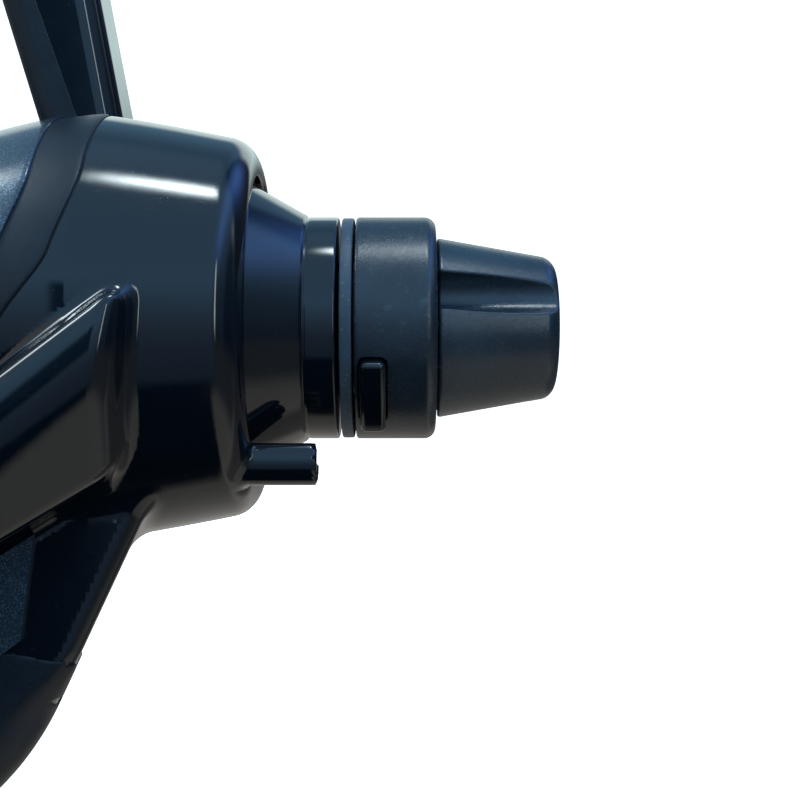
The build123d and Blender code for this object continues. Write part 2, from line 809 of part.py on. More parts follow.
def make_spool():
    half = spool_rear_x + spool_front_x
    with BuildPart() as spool:
        add(turned([
            (spool_front_x, shaft_radius), (spool_front_x, spool_radius - 0.8),
            (spool_front_x + spool_flange, spool_radius - 0.8),
            (spool_front_x + spool_flange, spool_hub_radius),
            (spool_rear_x - spool_flange, spool_hub_radius), (spool_rear_x - spool_flange, spool_radius),
            (spool_rear_x, spool_radius), (spool_rear_x, spool_hub_radius - 1.6),
            (half / 2 - 2, spool_hub_radius - 1.6), (half / 2 - 2, 5.0), (spool_rear_x, 5.0),
            (spool_rear_x, shaft_radius),
        ]))
        rims = spool.edges().filter_by(GeomType.CIRCLE).filter_by(lambda e: e.radius > spool_radius - 1)
        fillet(rims, 0.4)
    save(spool, "spool")
    with BuildPart() as spool_nut:
        with BuildSketch(cross_plane(spool_front_x - 2.6)):
            RegularPolygon(4.2, 6)
            Circle(shaft_radius, mode=Mode.SUBTRACT)
        extrude(amount=2.6)
    save(spool_nut, "spool_nut")


make_drag()
make_spool()


# ---- Rotor, pinion and front plate ----
def make_rotor():
    with BuildPart() as rotor:
        add(turned([
            (rotor_rear_x, pinion_radius), (rotor_rear_x, rotor_radius - 2), (rotor_rear_x - 2, rotor_radius),
            (rotor_front_x + 0.7, rotor_radius), (rotor_front_x, rotor_radius - rotor_wall / 2),
            (rotor_front_x + 0.7, rotor_radius - rotor_wall), (rotor_rear_x - 2.6, rotor_radius - rotor_wall),
            (rotor_rear_x - rotor_web, rotor_radius - 2.6), (rotor_rear_x - rotor_web, rotor_hub_radius),
            (rotor_rear_x - 4.5, rotor_hub_radius), (rotor_rear_x - 4.5, pinion_radius),
        ]))
        for side in (-1, 1):
            with BuildSketch(Plane.XZ.offset(-side * (rotor_radius - 3))):
                with Locations((pickup_x, axis_z)):
                    Circle(pickup_radius)
            extrude(amount=-side * 5, mode=Mode.SUBTRACT)
    save(rotor, "rotor")
    with BuildPart() as pickup_pins:
        for side in (-1, 1):
            with BuildSketch(Plane.XZ.offset(-side * (spool_radius + 0.35))):
                with Locations((pickup_x, axis_z)):
                    Circle(pickup_radius)
            extrude(amount=-side * (rotor_radius + 0.6 - spool_radius - 0.35))
    save(pickup_pins, "pickup_pins")
    with BuildPart() as rotor_nut:
        with BuildSketch(cross_plane(rotor_rear_x - 6.5)):
            RegularPolygon(5.4, 6)
            Circle(pinion_radius, mode=Mode.SUBTRACT)
        extrude(amount=2.0)
    save(rotor_nut, "rotor_nut")
    mesh_x = crank_x - face_radius
    with BuildPart() as pinion:
        with BuildSketch(cross_plane(pinion_front_x)):
            Circle(pinion_radius)
        extrude(amount=pinion_rear_x - pinion_front_x)
        with BuildSketch(cross_plane(mesh_x - pinion_tooth_length / 2)):
            with BuildLine():
                Polyline(*gear_points(pinion_teeth, face_module, 180 / pinion_teeth), close=True)
            make_face()
        extrude(amount=pinion_tooth_length)
        with BuildSketch(cross_plane(pinion_front_x)):
            Circle(shaft_radius + run_gap)
        extrude(amount=pinion_rear_x - pinion_front_x, mode=Mode.SUBTRACT)
    save(pinion, "pinion")


def release_seat(radius, x_start, x_end):
    with BuildPart() as piece:
        with BuildSketch(cross_plane(x_start)):
            with Locations((0, release_w)):
                Circle(radius)
        extrude(amount=x_end - x_start)
    return piece


def make_front_plate():
    spigot = plate_radius - cover_wall - run_gap
    with BuildPart() as front_plate:
        add(ring(plate_front_x, case_front_x, pinion_radius + run_gap + bush_wall, plate_radius).part)
        with BuildSketch(cross_plane(plate_front_x)):
            with BuildLine():
                bottom = belly_w - sqrt((belly_radius - guard_thickness) ** 2 - (case_front_x - belly_x) ** 2)
                Polyline(
                    (belly_near_y, 0), (belly_near_y, bottom + 3), (belly_near_y + 3, bottom),
                    (plate_y - 3, bottom), (plate_y, bottom + 3), (plate_y, 0), (12, -12), (-12, -12),
                    close=True,
                )
            make_face()
        extrude(amount=plate_thickness)
        add(ring(plate_front_x - plate_spigot, plate_front_x, spigot - wall, spigot).part)
        add(ring(case_front_x, clutch_rear_x, clutch_radius, clutch_radius + bush_wall).part)
        add(release_seat(release_radius + bush_wall, case_front_x - 1, case_front_x + 2.5).part)
        add(release_seat(release_radius + run_gap, plate_front_x - 1, case_front_x + 4).part,
            mode=Mode.SUBTRACT)
    save(front_plate, "front_plate")
    inner = pinion_radius + run_gap
    with BuildPart() as pinion_bush:
        add(ring(plate_front_x, case_front_x, inner, inner + bush_wall).part)
    save(pinion_bush, "pinion_bush")
    with BuildPart() as roller_clutch:
        start = clutch_rear_x - clutch_length
        add(ring(start, clutch_rear_x, inner + 2 * clutch_roller + run_gap, clutch_radius).part)
        with BuildSketch(cross_plane(start + 0.3)):
            with PolarLocations(inner + clutch_roller, clutch_rollers):
                Circle(clutch_roller)
        extrude(amount=clutch_length - 0.6)
    save(roller_clutch, "roller_clutch")


def make_cover():
    skirt_x = plate_front_x - seam
    inner = plate_radius - cover_wall
    with BuildPart() as front_cover:
        with BuildSketch(side_plane(0)):
            with BuildLine():
                Polyline(
                    (cover_shoulder_x, plate_radius), (skirt_x, plate_radius), (skirt_x, inner),
                    (cover_shoulder_x, inner),
                )
                outer_mid = (cover_shoulder_x - 5.3, plate_radius - 2.6)
                outer_end = (cover_shoulder_x - 8.2, plate_radius - 7.2)
                inner_mid = (cover_shoulder_x - 4.2, inner - 2.2)
                inner_end = (cover_shoulder_x - 6.6, inner - 6.2)
                seat_x = cover_nose_x + nose_depth
                ThreePointArc((cover_shoulder_x, inner), inner_mid, inner_end)
                Polyline(
                    inner_end, (seat_x, eyelet_radius + 0.4), (seat_x, eyelet_radius),
                    (cover_nose_x, eyelet_radius), (cover_nose_x, nose_radius),
                    (cover_nose_x + 3, nose_radius + 0.8), outer_end,
                )
                ThreePointArc(outer_end, outer_mid, (cover_shoulder_x, plate_radius))
            make_face()
        revolve(axis=spool_axis)
    save(front_cover, "front_cover")
    with BuildPart() as line_eyelet:
        add(ring(cover_nose_x - 0.8, cover_nose_x + eyelet_length, eyelet_bore, eyelet_radius).part)
        bore_edges = line_eyelet.edges().filter_by(GeomType.CIRCLE).sort_by(SortBy.RADIUS)[:2]
        fillet(bore_edges, 1.0)
    save(line_eyelet, "line_eyelet")


make_rotor()
make_front_plate()
make_cover()


# ---- Gears ----
def make_gears():
    with BuildPart() as idler_axle:
        add(rod(crank_x, 0, axle_seat_radius, shaft_radius + 1.2, shaft_radius))
    save(idler_axle, "idler_axle")
    with BuildPart() as idler_clip:
        clip_y = face_root_y - 0.35
        add(rod(crank_x, 0, clip_y, clip_y - 0.7, shaft_radius + 1.3))
        add(rod(crank_x, 0, clip_y + 1, clip_y - 2, shaft_radius), mode=Mode.SUBTRACT)
    save(idler_clip, "idler_clip")
    with BuildPart() as face_gear:
        add(rod(crank_x, 0, idler_y, face_root_y, face_radius + face_ring_width / 2 + 0.3))
        with BuildSketch(side_plane(face_root_y)):
            with Locations((crank_x, 0)):
                with PolarLocations(face_radius, face_teeth):
                    Rectangle(face_ring_width, face_tooth_width)
        extrude(amount=face_root_y - face_tip_y)
        add(rod(crank_x, 0, idler_y + 1, 0, shaft_radius + run_gap), mode=Mode.SUBTRACT)
    save(face_gear, "face_gear")
    with BuildPart() as idler_gear:
        with BuildSketch(side_plane_at(crank_x, 0, idler_y + spur_width)):
            with BuildLine():
                Polyline(*gear_points(idler_teeth, spur_module, 180 / idler_teeth), close=True)
            make_face()
            Circle(shaft_radius + run_gap, mode=Mode.SUBTRACT)
        extrude(amount=spur_width)
    save(idler_gear, "idler_gear")
    with BuildPart() as crank_gear:
        with BuildSketch(side_plane_at(crank_x, crank_w, idler_y + spur_width)):
            with BuildLine():
                Polyline(*gear_points(crank_teeth, spur_module, 0), close=True)
            make_face()
            with PolarLocations(10.5, 6):
                Circle(3.2, mode=Mode.SUBTRACT)
            Circle(crank_shaft_radius, mode=Mode.SUBTRACT)
        extrude(amount=spur_width - 0.2)
    save(crank_gear, "crank_gear")


def make_crank():
    with BuildPart() as crank_shaft:
        add(rod(crank_x, crank_w, crank_shaft_far_y, arm_start_y, crank_shaft_radius))
        add(rod(crank_x, crank_w, arm_start_y, arm_end_y, shaft_end_radius))
    save(crank_shaft, "crank_shaft")
    with BuildPart() as crank_bush_near:
        add(rod(crank_x, crank_w, bulge_y + bush_boss_length - 0.1, hub_boss_y + 0.1, crank_bush_radius))
        add(rod(crank_x, crank_w, 0, hub_boss_y - 1, crank_shaft_radius + run_gap), mode=Mode.SUBTRACT)
    save(crank_bush_near, "crank_bush_near")
    with BuildPart() as crank_bush_far:
        add(rod(crank_x, crank_w, plate_y - plate_skin, belly_far_y - far_bush_step, crank_bush_radius))
        add(rod(crank_x, crank_w, plate_y, 0, crank_shaft_radius + run_gap), mode=Mode.SUBTRACT)
    save(crank_bush_far, "crank_bush_far")
    with BuildPart() as crank_arm:
        with BuildSketch(side_plane(arm_start_y)):
            with Locations((crank_x, crank_w)):
                Circle(arm_hub_radius)
            with Locations((crank_x, handle_w)):
                Circle(arm_end_radius)
            make_hull()
        extrude(amount=arm_thickness)
        fillet(crank_arm.faces().sort_by(Axis.Y)[0].edges(), 1.0)
        add(rod(crank_x, crank_w, 0, arm_end_y - 1, shaft_end_radius), mode=Mode.SUBTRACT)
        add(rod(crank_x, handle_w, 0, arm_end_y - 1, spindle_radius), mode=Mode.SUBTRACT)
    save(crank_arm, "crank_arm")
    with BuildPart() as crank_screw:
        add(rod(crank_x, crank_w, arm_end_y, arm_end_y - 2.4, 4.4))
        fillet(crank_screw.faces().sort_by(Axis.Y)[0].edges(), 0.8)
        with BuildSketch(side_plane(arm_end_y - 2.4)):
            with Locations((crank_x, crank_w)):
                Rectangle(5, 0.9)
        extrude(amount=-0.8, mode=Mode.SUBTRACT)
    save(crank_screw, "crank_screw")
    reach_y = arm_end_y - knob_reach
    with BuildPart() as handle_spindle:
        add(rod(crank_x, handle_w, arm_start_y, reach_y + 2, spindle_radius))
    save(handle_spindle, "handle_spindle")
    with BuildPart() as handle_knob:
        spin = Axis((crank_x, 0, axis_z + handle_w), (0, 1, 0))
        with BuildSketch(Plane(origin=(crank_x, 0, axis_z + handle_w), x_dir=(1, 0, 0), z_dir=(0, 0, 1))):
            with BuildLine():
                start_y = arm_end_y - part_gap
                Polyline(
                    (spindle_radius + run_gap, start_y), (handle_waist - 0.6, start_y),
                    (handle_waist, start_y - 1.2),
                )
                ThreePointArc(
                    (handle_waist, start_y - 1.2), (handle_radius, start_y - knob_reach * 0.62),
                    (handle_waist - 0.4, reach_y + 0.4),
                )
                Polyline(
                    (handle_waist - 0.4, reach_y + 0.4), (handle_cap_radius, reach_y),
                    (handle_cap_radius, reach_y + 1.8), (spindle_radius + run_gap, reach_y + 1.8),
                    (spindle_radius + run_gap, start_y),
                )
            make_face()
        revolve(axis=spin)
    save(handle_knob, "handle_knob")
    with BuildPart() as handle_cap:
        add(rod(crank_x, handle_w, reach_y + 1.8, reach_y - 0.3, handle_cap_radius - 0.02))
        fillet(handle_cap.faces().sort_by(Axis.Y)[0].edges(), 0.5)
    save(handle_cap, "handle_cap")


make_gears()
make_crank()


# ---- Trigger and line release ----
def lever(x, w):
    """A point of the trigger, measured from its pivot."""
    return (pivot_x + x, pivot_w + w)


def make_trigger():
    half = trigger_width / 2
    with BuildPart() as trigger:
        with BuildSketch(side_plane(half)):
            with BuildLine():
                Polyline(lever(-1.9, -6), lever(1.9, -6), lever(2.4, 0), lever(1.8, 14))
                ThreePointArc(lever(1.8, 14), lever(-1.0, 21), lever(-8, 25.5))
                Polyline(lever(-8, 25.5), lever(-17, 27.5), lever(-17.6, 25.2), lever(-9.5, 22.6))
                ThreePointArc(lever(-9.5, 22.6), lever(-4.2, 18.8), lever(-2.2, 13.5))
                Polyline(lever(-2.2, 13.5), lever(-2.4, 0), lever(-1.9, -6))
            make_face()
        extrude(amount=trigger_width)
        add(rod(pivot_x, pivot_w, half + 1, -half - 1, pivot_radius + run_gap), mode=Mode.SUBTRACT)
    save(trigger, "trigger")
    with BuildPart() as trigger_pad:
        with BuildSketch(side_plane(pad_width / 2)):
            with BuildLine():
                Polyline(
                    lever(-6, 26.3), lever(-8, 25.5), lever(-17, 27.5), lever(-17.4, 29.3),
                    lever(-8, 27.4), close=True,
                )
            make_face()
        extrude(amount=pad_width)
        fillet(trigger_pad.edges().filter_by(Axis.Y).sort_by(Axis.X)[0:1], 0.6)
    save(trigger_pad, "trigger_pad")
    with BuildPart() as trigger_pin:
        add(rod(pivot_x, pivot_w, 5.5, -5.5, pivot_radius))
    save(trigger_pin, "trigger_pin")
    save(release_seat(release_radius, plate_front_x - 1.4, pivot_x - 2.55), "release_pin")


make_trigger()
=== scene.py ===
# %% [markdown]
# # A closed-face reel with its drag at the rear
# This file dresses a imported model, which already has its sizes, joints and pieces. The model's own
# pieces stay where a plain shape is right. Mouldings that flow into one another are made again as
# one smooth skin, because hard joins between simple solids never look moulded.

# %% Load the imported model
import json
from math import cos, degrees, pi, radians, sin

import bmesh
import bpy
import numpy as np
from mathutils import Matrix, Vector


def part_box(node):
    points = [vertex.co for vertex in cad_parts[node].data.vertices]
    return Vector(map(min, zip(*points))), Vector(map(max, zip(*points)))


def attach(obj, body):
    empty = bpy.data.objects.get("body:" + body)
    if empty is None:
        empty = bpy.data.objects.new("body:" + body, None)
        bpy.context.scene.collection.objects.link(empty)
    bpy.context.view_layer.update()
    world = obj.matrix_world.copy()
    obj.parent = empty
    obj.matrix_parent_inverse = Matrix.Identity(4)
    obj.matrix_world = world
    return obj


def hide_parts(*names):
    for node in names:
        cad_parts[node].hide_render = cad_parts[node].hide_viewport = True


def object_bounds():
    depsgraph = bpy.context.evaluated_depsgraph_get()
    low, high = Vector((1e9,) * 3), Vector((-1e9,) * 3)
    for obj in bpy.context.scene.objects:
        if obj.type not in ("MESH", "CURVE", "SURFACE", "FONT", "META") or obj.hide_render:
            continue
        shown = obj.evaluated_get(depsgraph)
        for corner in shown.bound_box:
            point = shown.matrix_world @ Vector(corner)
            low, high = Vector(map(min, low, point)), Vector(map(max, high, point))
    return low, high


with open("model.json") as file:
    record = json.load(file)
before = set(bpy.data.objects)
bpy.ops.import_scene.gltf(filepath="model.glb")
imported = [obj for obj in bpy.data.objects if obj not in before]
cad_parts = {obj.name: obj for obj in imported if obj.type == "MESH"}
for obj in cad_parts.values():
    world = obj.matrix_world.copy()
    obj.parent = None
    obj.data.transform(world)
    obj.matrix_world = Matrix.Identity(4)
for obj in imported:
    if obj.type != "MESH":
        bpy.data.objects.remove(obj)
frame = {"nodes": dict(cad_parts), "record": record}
cad_box = [list(corner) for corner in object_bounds()]
nodes = frame["nodes"]
print("packed pieces:", len(nodes))

# %% [markdown]
# ## Places
# Everything is placed from the model: the spool's axis is the joint that the rotor turns on, and the
# crank's axis is the joint of the crank. Lengths are written in millimetres, as a maker would, and
# `MM` turns them into metres.

# %% Axes and shared places
MM = 0.001
record = frame["record"]
joint = {j["name"]: j for j in record["behaviour"]["joints"]}
AXIS_Z = joint["rotor_spin"]["pos_m"][2]
CRANK_X, CRANK_W = (joint["crank_turn"]["pos_m"][k] / MM for k in (0, 2))
CRANK_W -= AXIS_Z / MM


def low(node):
    """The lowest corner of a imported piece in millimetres, with heights from the spool's axis."""
    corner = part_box(node)[0]
    return corner[0] / MM, corner[1] / MM, (corner[2] - AXIS_Z) / MM


def high(node):
    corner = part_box(node)[1]
    return corner[0] / MM, corner[1] / MM, (corner[2] - AXIS_Z) / MM


SEAM_X = high("side_cover_near")[0] + 0.15
CASE_FRONT = high("front_plate")[0] - 6.5
DRUM_REAR = high("rear_bush")[0] + 4.9
print("spool axis at", AXIS_Z, "crank at", CRANK_X, CRANK_W, "seam", SEAM_X)

# %% [markdown]
# ## Shader maths
# A material's patterns are sums and products of noise. Written as nodes they take pages, so this
# small class wraps a socket and lets an ordinary expression add the Math nodes.


# %% A socket that can be added and multiplied
class Value:
    def __init__(self, tree, socket):
        self.tree = tree
        self.socket = socket

    def math(self, operation, other=None, swap=False):
        node = self.tree.nodes.new("ShaderNodeMath")
        node.operation = operation
        pair = [self, other]
        if swap:
            pair.reverse()
        for k, item in enumerate(pair):
            if isinstance(item, Value):
                self.tree.links.new(item.socket, node.inputs[k])
            elif item is not None:
                node.inputs[k].default_value = item
        return Value(self.tree, node.outputs[0])

    def __add__(self, other):
        return self.math("ADD", other)

    __radd__ = __add__

    def __sub__(self, other):
        return self.math("SUBTRACT", other)

    def __rsub__(self, other):
        return self.math("SUBTRACT", other, swap=True)

    def __mul__(self, other):
        return self.math("MULTIPLY", other)

    __rmul__ = __mul__

    def __truediv__(self, other):
        return self.math("DIVIDE", other)

    def band(self, start, end):
        """0 below start, 1 above end, and smooth between them."""
        node = self.tree.nodes.new("ShaderNodeMapRange")
        node.interpolation_type = "SMOOTHSTEP"
        self.tree.links.new(self.socket, node.inputs["Value"])
        node.inputs["From Min"].default_value = start
        node.inputs["From Max"].default_value = end
        return Value(self.tree, node.outputs["Result"])


# %% [markdown]
# A finish is one Principled shader and what varies over it. `Finish` makes the material, adds any
# node from its type, settings and inputs, and connects what varies.


# %% One material at a time
class Finish:
    def __init__(self, name, **fixed):
        self.material = bpy.data.materials.new(name)
        self.material.use_nodes = True
        self.tree = self.material.node_tree
        self.shader = self.tree.nodes["Principled BSDF"]
        for socket, value in fixed.items():
            self.shader.inputs[socket.replace("_", " ")].default_value = value
        place = self.tree.nodes.new("ShaderNodeTexCoord")
        self.place = Value(self.tree, place.outputs["Object"])

    def node(self, kind, output=0, settings=None, **inputs):
        made = self.tree.nodes.new(kind)
        for key, value in (settings or {}).items():
            setattr(made, key, value)
        for key, value in inputs.items():
            socket = made.inputs[key.replace("_", " ")]
            if isinstance(value, Value):
                self.tree.links.new(value.socket, socket)
            else:
                socket.default_value = value
        return Value(self.tree, made.outputs[output])

    def noise(self, size_mm, detail=2.0, rough=0.5, seed=0.0):
        return self.node("ShaderNodeTexNoise", "Fac", Vector=self.shifted(seed), Scale=1 / (size_mm * MM),
                         Detail=detail, Roughness=rough)

    def shifted(self, seed, stretch=(1, 1, 1)):
        """The piece's own coordinates, moved and stretched, so that two patterns never line up."""
        return self.node("ShaderNodeMapping", 0, Vector=self.place, Location=(seed, seed * 0.7, seed * 1.3),
                         Scale=stretch)

    def cells(self, size_mm, output="Distance", seed=0.0):
        return self.node("ShaderNodeTexVoronoi", output, Vector=self.shifted(seed), Scale=1 / (size_mm * MM))

    def colours(self, factor, first, second):
        mixed = self.tree.nodes.new("ShaderNodeMix")
        mixed.data_type = "RGBA"
        self.tree.links.new(factor.socket, mixed.inputs[0])
        for socket, colour in ((mixed.inputs[6], first), (mixed.inputs[7], second)):
            if isinstance(colour, Value):
                self.tree.links.new(colour.socket, socket)
            else:
                socket.default_value = (*colour, 1)
        return Value(self.tree, mixed.outputs[2])

    def bump(self, height, depth_mm, strength=1.0):
        return self.node("ShaderNodeBump", 0, Height=height, Distance=depth_mm * MM, Strength=strength)

    def feed(self, **varying):
        for socket, value in varying.items():
            self.tree.links.new(value.socket, self.shader.inputs[socket.replace("_", " ")])
        return self.material


print("shader helpers ready")

# %% [markdown]
# ## Gloss moulding
# The drum, tail cone, bulge and stem are polished dark plastic with a faint orange peel, a little
# dust, and hair scratches that only show in the highlight.


# %% Gloss moulding
def gloss_moulding(name, base, peel=0.012, rough=0.07):
    f = Finish(name, Specular_IOR_Level=0.5, Coat_Weight=0.6, Coat_Roughness=0.035)
    wave = f.noise(2.2, detail=1.0)
    dust = f.cells(1.3, seed=0.11)
    specks = 1 - dust.band(0.03, 0.09)
    patch = f.noise(9.0, detail=3.0, seed=0.4)
    scratch = f.node("ShaderNodeTexNoise", "Fac", Vector=f.shifted(0.2, (0.06, 1.0, 1.0)),
                     Scale=4200.0, Detail=1.0)
    marks = scratch.band(0.66, 0.74)
    dull = rough + 0.05 * patch.band(0.45, 0.75) + 0.10 * marks + 0.25 * specks
    colour = f.colours(specks * 0.12, base, (0.10, 0.13, 0.15))
    return f.feed(Base_Color=colour, Roughness=dull, Normal=f.bump(wave + 0.05 * marks, peel))


GLOSS = gloss_moulding("gloss_navy", (0.0045, 0.010, 0.016))
print("made", GLOSS.name)

# %% [markdown]
# ## Satin mouldings
# Knob, collar, covers and ring have a spark-eroded grain: thousands of tiny pits, which scatter the
# highlight. Handling polishes the high spots, and a few pale scuffs stay.


# %% Satin mouldings
def satin_moulding(name, base, grain_mm=0.28, depth=0.03, rough=0.42, scuff=0.0, speck=0.0, shine_level=0.5):
    f = Finish(name, Specular_IOR_Level=shine_level)
    grain = f.noise(grain_mm, detail=3.0, rough=0.65)
    tone = f.noise(6.0, detail=4.0, seed=0.3)
    lifted = tuple(min(1.0, c * 1.4 + 0.004) for c in base)
    colour = f.colours(tone.band(0.35, 0.75), base, lifted)
    shine = rough + 0.10 * (grain - 0.5) + 0.08 * (tone - 0.5)
    if speck:
        dots = 1 - f.cells(0.75, seed=0.7).band(0.10, 0.24)
        colour = f.colours(dots * speck, colour, (0.33, 0.40, 0.44))
    if scuff:
        rub = f.noise(1.7, detail=5.0, rough=0.7, seed=0.9).band(0.56, 0.68)
        where = f.noise(7.0, detail=1.0, seed=1.7).band(0.42, 0.62)
        worn = rub * where
        colour = f.colours(worn * scuff, colour, (0.20, 0.27, 0.31))
        shine = shine + 0.12 * worn
    return f.feed(Base_Color=colour, Roughness=shine, Normal=f.bump(grain, depth))


SATIN = satin_moulding("satin_navy", (0.010, 0.018, 0.027), rough=0.40)
KNOB = satin_moulding(
    "knob_navy", (0.018, 0.040, 0.058), grain_mm=0.22, depth=0.016, rough=0.27, scuff=0.12, shine_level=0.9)
COLLAR = satin_moulding(
    "collar_navy", (0.020, 0.034, 0.046), depth=0.022, rough=0.27, scuff=0.35, shine_level=0.9)
RING = satin_moulding("ring_grey", (0.085, 0.120, 0.150), grain_mm=0.2, depth=0.03, rough=0.40, speck=0.4)
TAB = gloss_moulding("tab_navy", (0.004, 0.009, 0.014))
print("made", SATIN.name, KNOB.name, COLLAR.name, RING.name)

# %% [markdown]
# ## Metallic paint
# The side panels hold aluminium flake under a clear coat. Each flake is a small cell with its own
# brightness and its own tilt, so single flakes flash while their neighbours stay dark.


# %% Metallic paint
def flake_paint(name, base, flake, flake_mm=0.11):
    f = Finish(name, Coat_Weight=1.0, Coat_Roughness=0.05)
    cell = f.cells(flake_mm, "Color", seed=0.2)
    bright = f.node("ShaderNodeSeparateColor", 0, Color=cell)
    cloud = f.noise(2.4, detail=3.0, seed=0.5)
    glitter = bright.band(0.55, 1.0) * (0.35 + 0.65 * cloud.band(0.3, 0.7))
    colour = f.colours(glitter, base, flake)
    lift = f.cells(flake_mm, "Distance", seed=0.2)
    tilt = f.bump(bright + 0.4 * lift, 0.006)
    dull = 0.42 - 0.16 * glitter
    return f.feed(Base_Color=colour, Metallic=0.35 + 0.5 * glitter, Roughness=dull, Normal=tilt)


PANEL = flake_paint("flake_blue", (0.026, 0.050, 0.074), (0.20, 0.30, 0.37))
COVER_PAINT = flake_paint("flake_navy", (0.010, 0.025, 0.045), (0.07, 0.13, 0.19))
print("made", PANEL.name, COVER_PAINT.name)

# %% [markdown]
# ## Metals, rubber and felt
# These hardly show in use, but the reel can be opened, so each has its own surface: turning marks
# round a turned part, brushed streaks, and a matte nap on the friction discs.


# %% Metals, rubber and felt
def metal(name, base, rough=0.28, streak=(1, 1, 1), depth=0.006):
    f = Finish(name, Metallic=1.0)
    line = f.node("ShaderNodeTexNoise", "Fac", Vector=f.shifted(0.1, streak), Scale=3000.0, Detail=2.0)
    stain = f.noise(5.0, detail=3.0, seed=0.6)
    darker = tuple(0.72 * c for c in base)
    colour = f.colours(stain.band(0.4, 0.8), base, darker)
    return f.feed(Base_Color=colour, Roughness=rough + 0.14 * (line - 0.5) + 0.1 * stain.band(0.5, 0.8),
                  Normal=f.bump(line, depth))


def soft(name, base, grain_mm, depth, rough):
    f = Finish(name, Specular_IOR_Level=0.35)
    grain = f.noise(grain_mm, detail=4.0, rough=0.7)
    wear = f.noise(4.0, detail=3.0, seed=0.8)
    paler = tuple(min(1.0, 1.7 * c + 0.01) for c in base)
    colour = f.colours(wear.band(0.5, 0.8), base, paler)
    dull = rough - 0.12 * wear.band(0.5, 0.8)
    return f.feed(Base_Color=colour, Roughness=dull, Normal=f.bump(grain, depth))


STEEL = metal("turned_steel", (0.58, 0.58, 0.60), streak=(1.0, 0.1, 0.1))
BLACK_STEEL = metal("black_steel", (0.07, 0.07, 0.075), rough=0.34)
BRASS = metal("machined_brass", (0.72, 0.50, 0.22), streak=(1.0, 0.1, 0.1))
BRONZE = metal("bush_bronze", (0.46, 0.31, 0.17), rough=0.42)
ZINC = metal("cast_zinc", (0.55, 0.56, 0.58), rough=0.45, depth=0.015)
SPOOL = metal("spool_alloy", (0.66, 0.67, 0.69), rough=0.22, streak=(1.0, 0.1, 0.1))
CHROME = metal("hard_chrome", (0.80, 0.80, 0.82), rough=0.06, depth=0.001)
RUBBER = soft("knob_rubber", (0.018, 0.018, 0.020), 0.35, 0.05, 0.72)
FELT = soft("friction_felt", (0.20, 0.17, 0.13), 0.5, 0.08, 0.95)
ARM = satin_moulding("arm_black", (0.018, 0.022, 0.027), grain_mm=0.35, rough=0.36)
print("made the metals and soft finishes")

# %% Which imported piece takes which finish
FINISHES = {
    "gloss_shell": GLOSS, "satin_shell": SATIN, "metallic_panel": PANEL, "satin_ring": RING,
    "collar": COLLAR, "tab": TAB, "knob": KNOB, "cover_paint": COVER_PAINT, "steel": STEEL,
    "black_steel": BLACK_STEEL, "brass": BRASS, "zinc": ZINC, "felt": FELT, "bushing": BRONZE,
    "rubber": RUBBER, "arm": ARM, "eyelet": CHROME, "spool_alloy": SPOOL,
}
slot_of = {part["node"]: part["material_slot"] for part in record["subparts"]}
for name, obj in nodes.items():
    finish = FINISHES[slot_of[name]]
    if not obj.material_slots:
        obj.data.materials.append(finish)
    for slot in obj.material_slots:
        slot.material = finish
nodes["stem"].visible_glossy = False    # the foot overhead would mirror as a black oval on the drum
print("dressed", len(nodes), "packed pieces")

# %% [markdown]
# ## Turned pieces
# A lathe needs only half a section. Each corner of the section is cut back to a short arc first,
# because a real moulding has no perfectly sharp edge and the highlight runs along that arc.


# %% A lathe for sections with softened corners
def soften(section, radius, steps=4):
    """Cuts each corner of a closed outline back to a small curve."""
    points = [Vector(p) for p in section]
    count = len(points)
    out = []
    for k, corner in enumerate(points):
        before, after = points[k - 1] - corner, points[(k + 1) % count] - corner
        reach = min(radius, 0.45 * before.length, 0.45 * after.length)
        start, end = corner + before.normalized() * reach, corner + after.normalized() * reach
        for s in range(steps + 1):
            t = s / steps
            out.append(start * (1 - t) ** 2 + corner * 2 * t * (1 - t) + end * t**2)
    return out


def mesh_object(name, vertices, faces, material, body):
    mesh = bpy.data.meshes.new(name)
    mesh.from_pydata([tuple(v) for v in vertices], [], faces)
    mesh.update()
    obj = bpy.data.objects.new(name, mesh)
    bpy.context.scene.collection.objects.link(obj)
    mesh.materials.append(material)
    for polygon in mesh.polygons:
        polygon.use_smooth = True
    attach(obj, body)
    return obj


def lathe(name, section, material, body, radius=0.3, around=180):
    """Turns a closed (x, radius) section, in millimetres, about the spool's axis."""
    outline = soften(section, radius)
    vertices, faces = [], []
    for k in range(around):
        a = 2 * pi * k / around
        for x, r in outline:
            vertices.append((x * MM, r * cos(a) * MM, AXIS_Z + r * sin(a) * MM))
    n = len(outline)
    for k in range(around):
        ahead = (k + 1) % around
        for i in range(n):
            j = (i + 1) % n
            faces.append((k * n + i, k * n + j, ahead * n + j, ahead * n + i))
    obj = mesh_object(name, vertices, faces, material, body)
    outward(obj)
    return obj


def outward(obj):
    work = bmesh.new()
    work.from_mesh(obj.data)
    bmesh.ops.recalc_face_normals(work, faces=work.faces)
    work.to_mesh(obj.data)
    work.free()


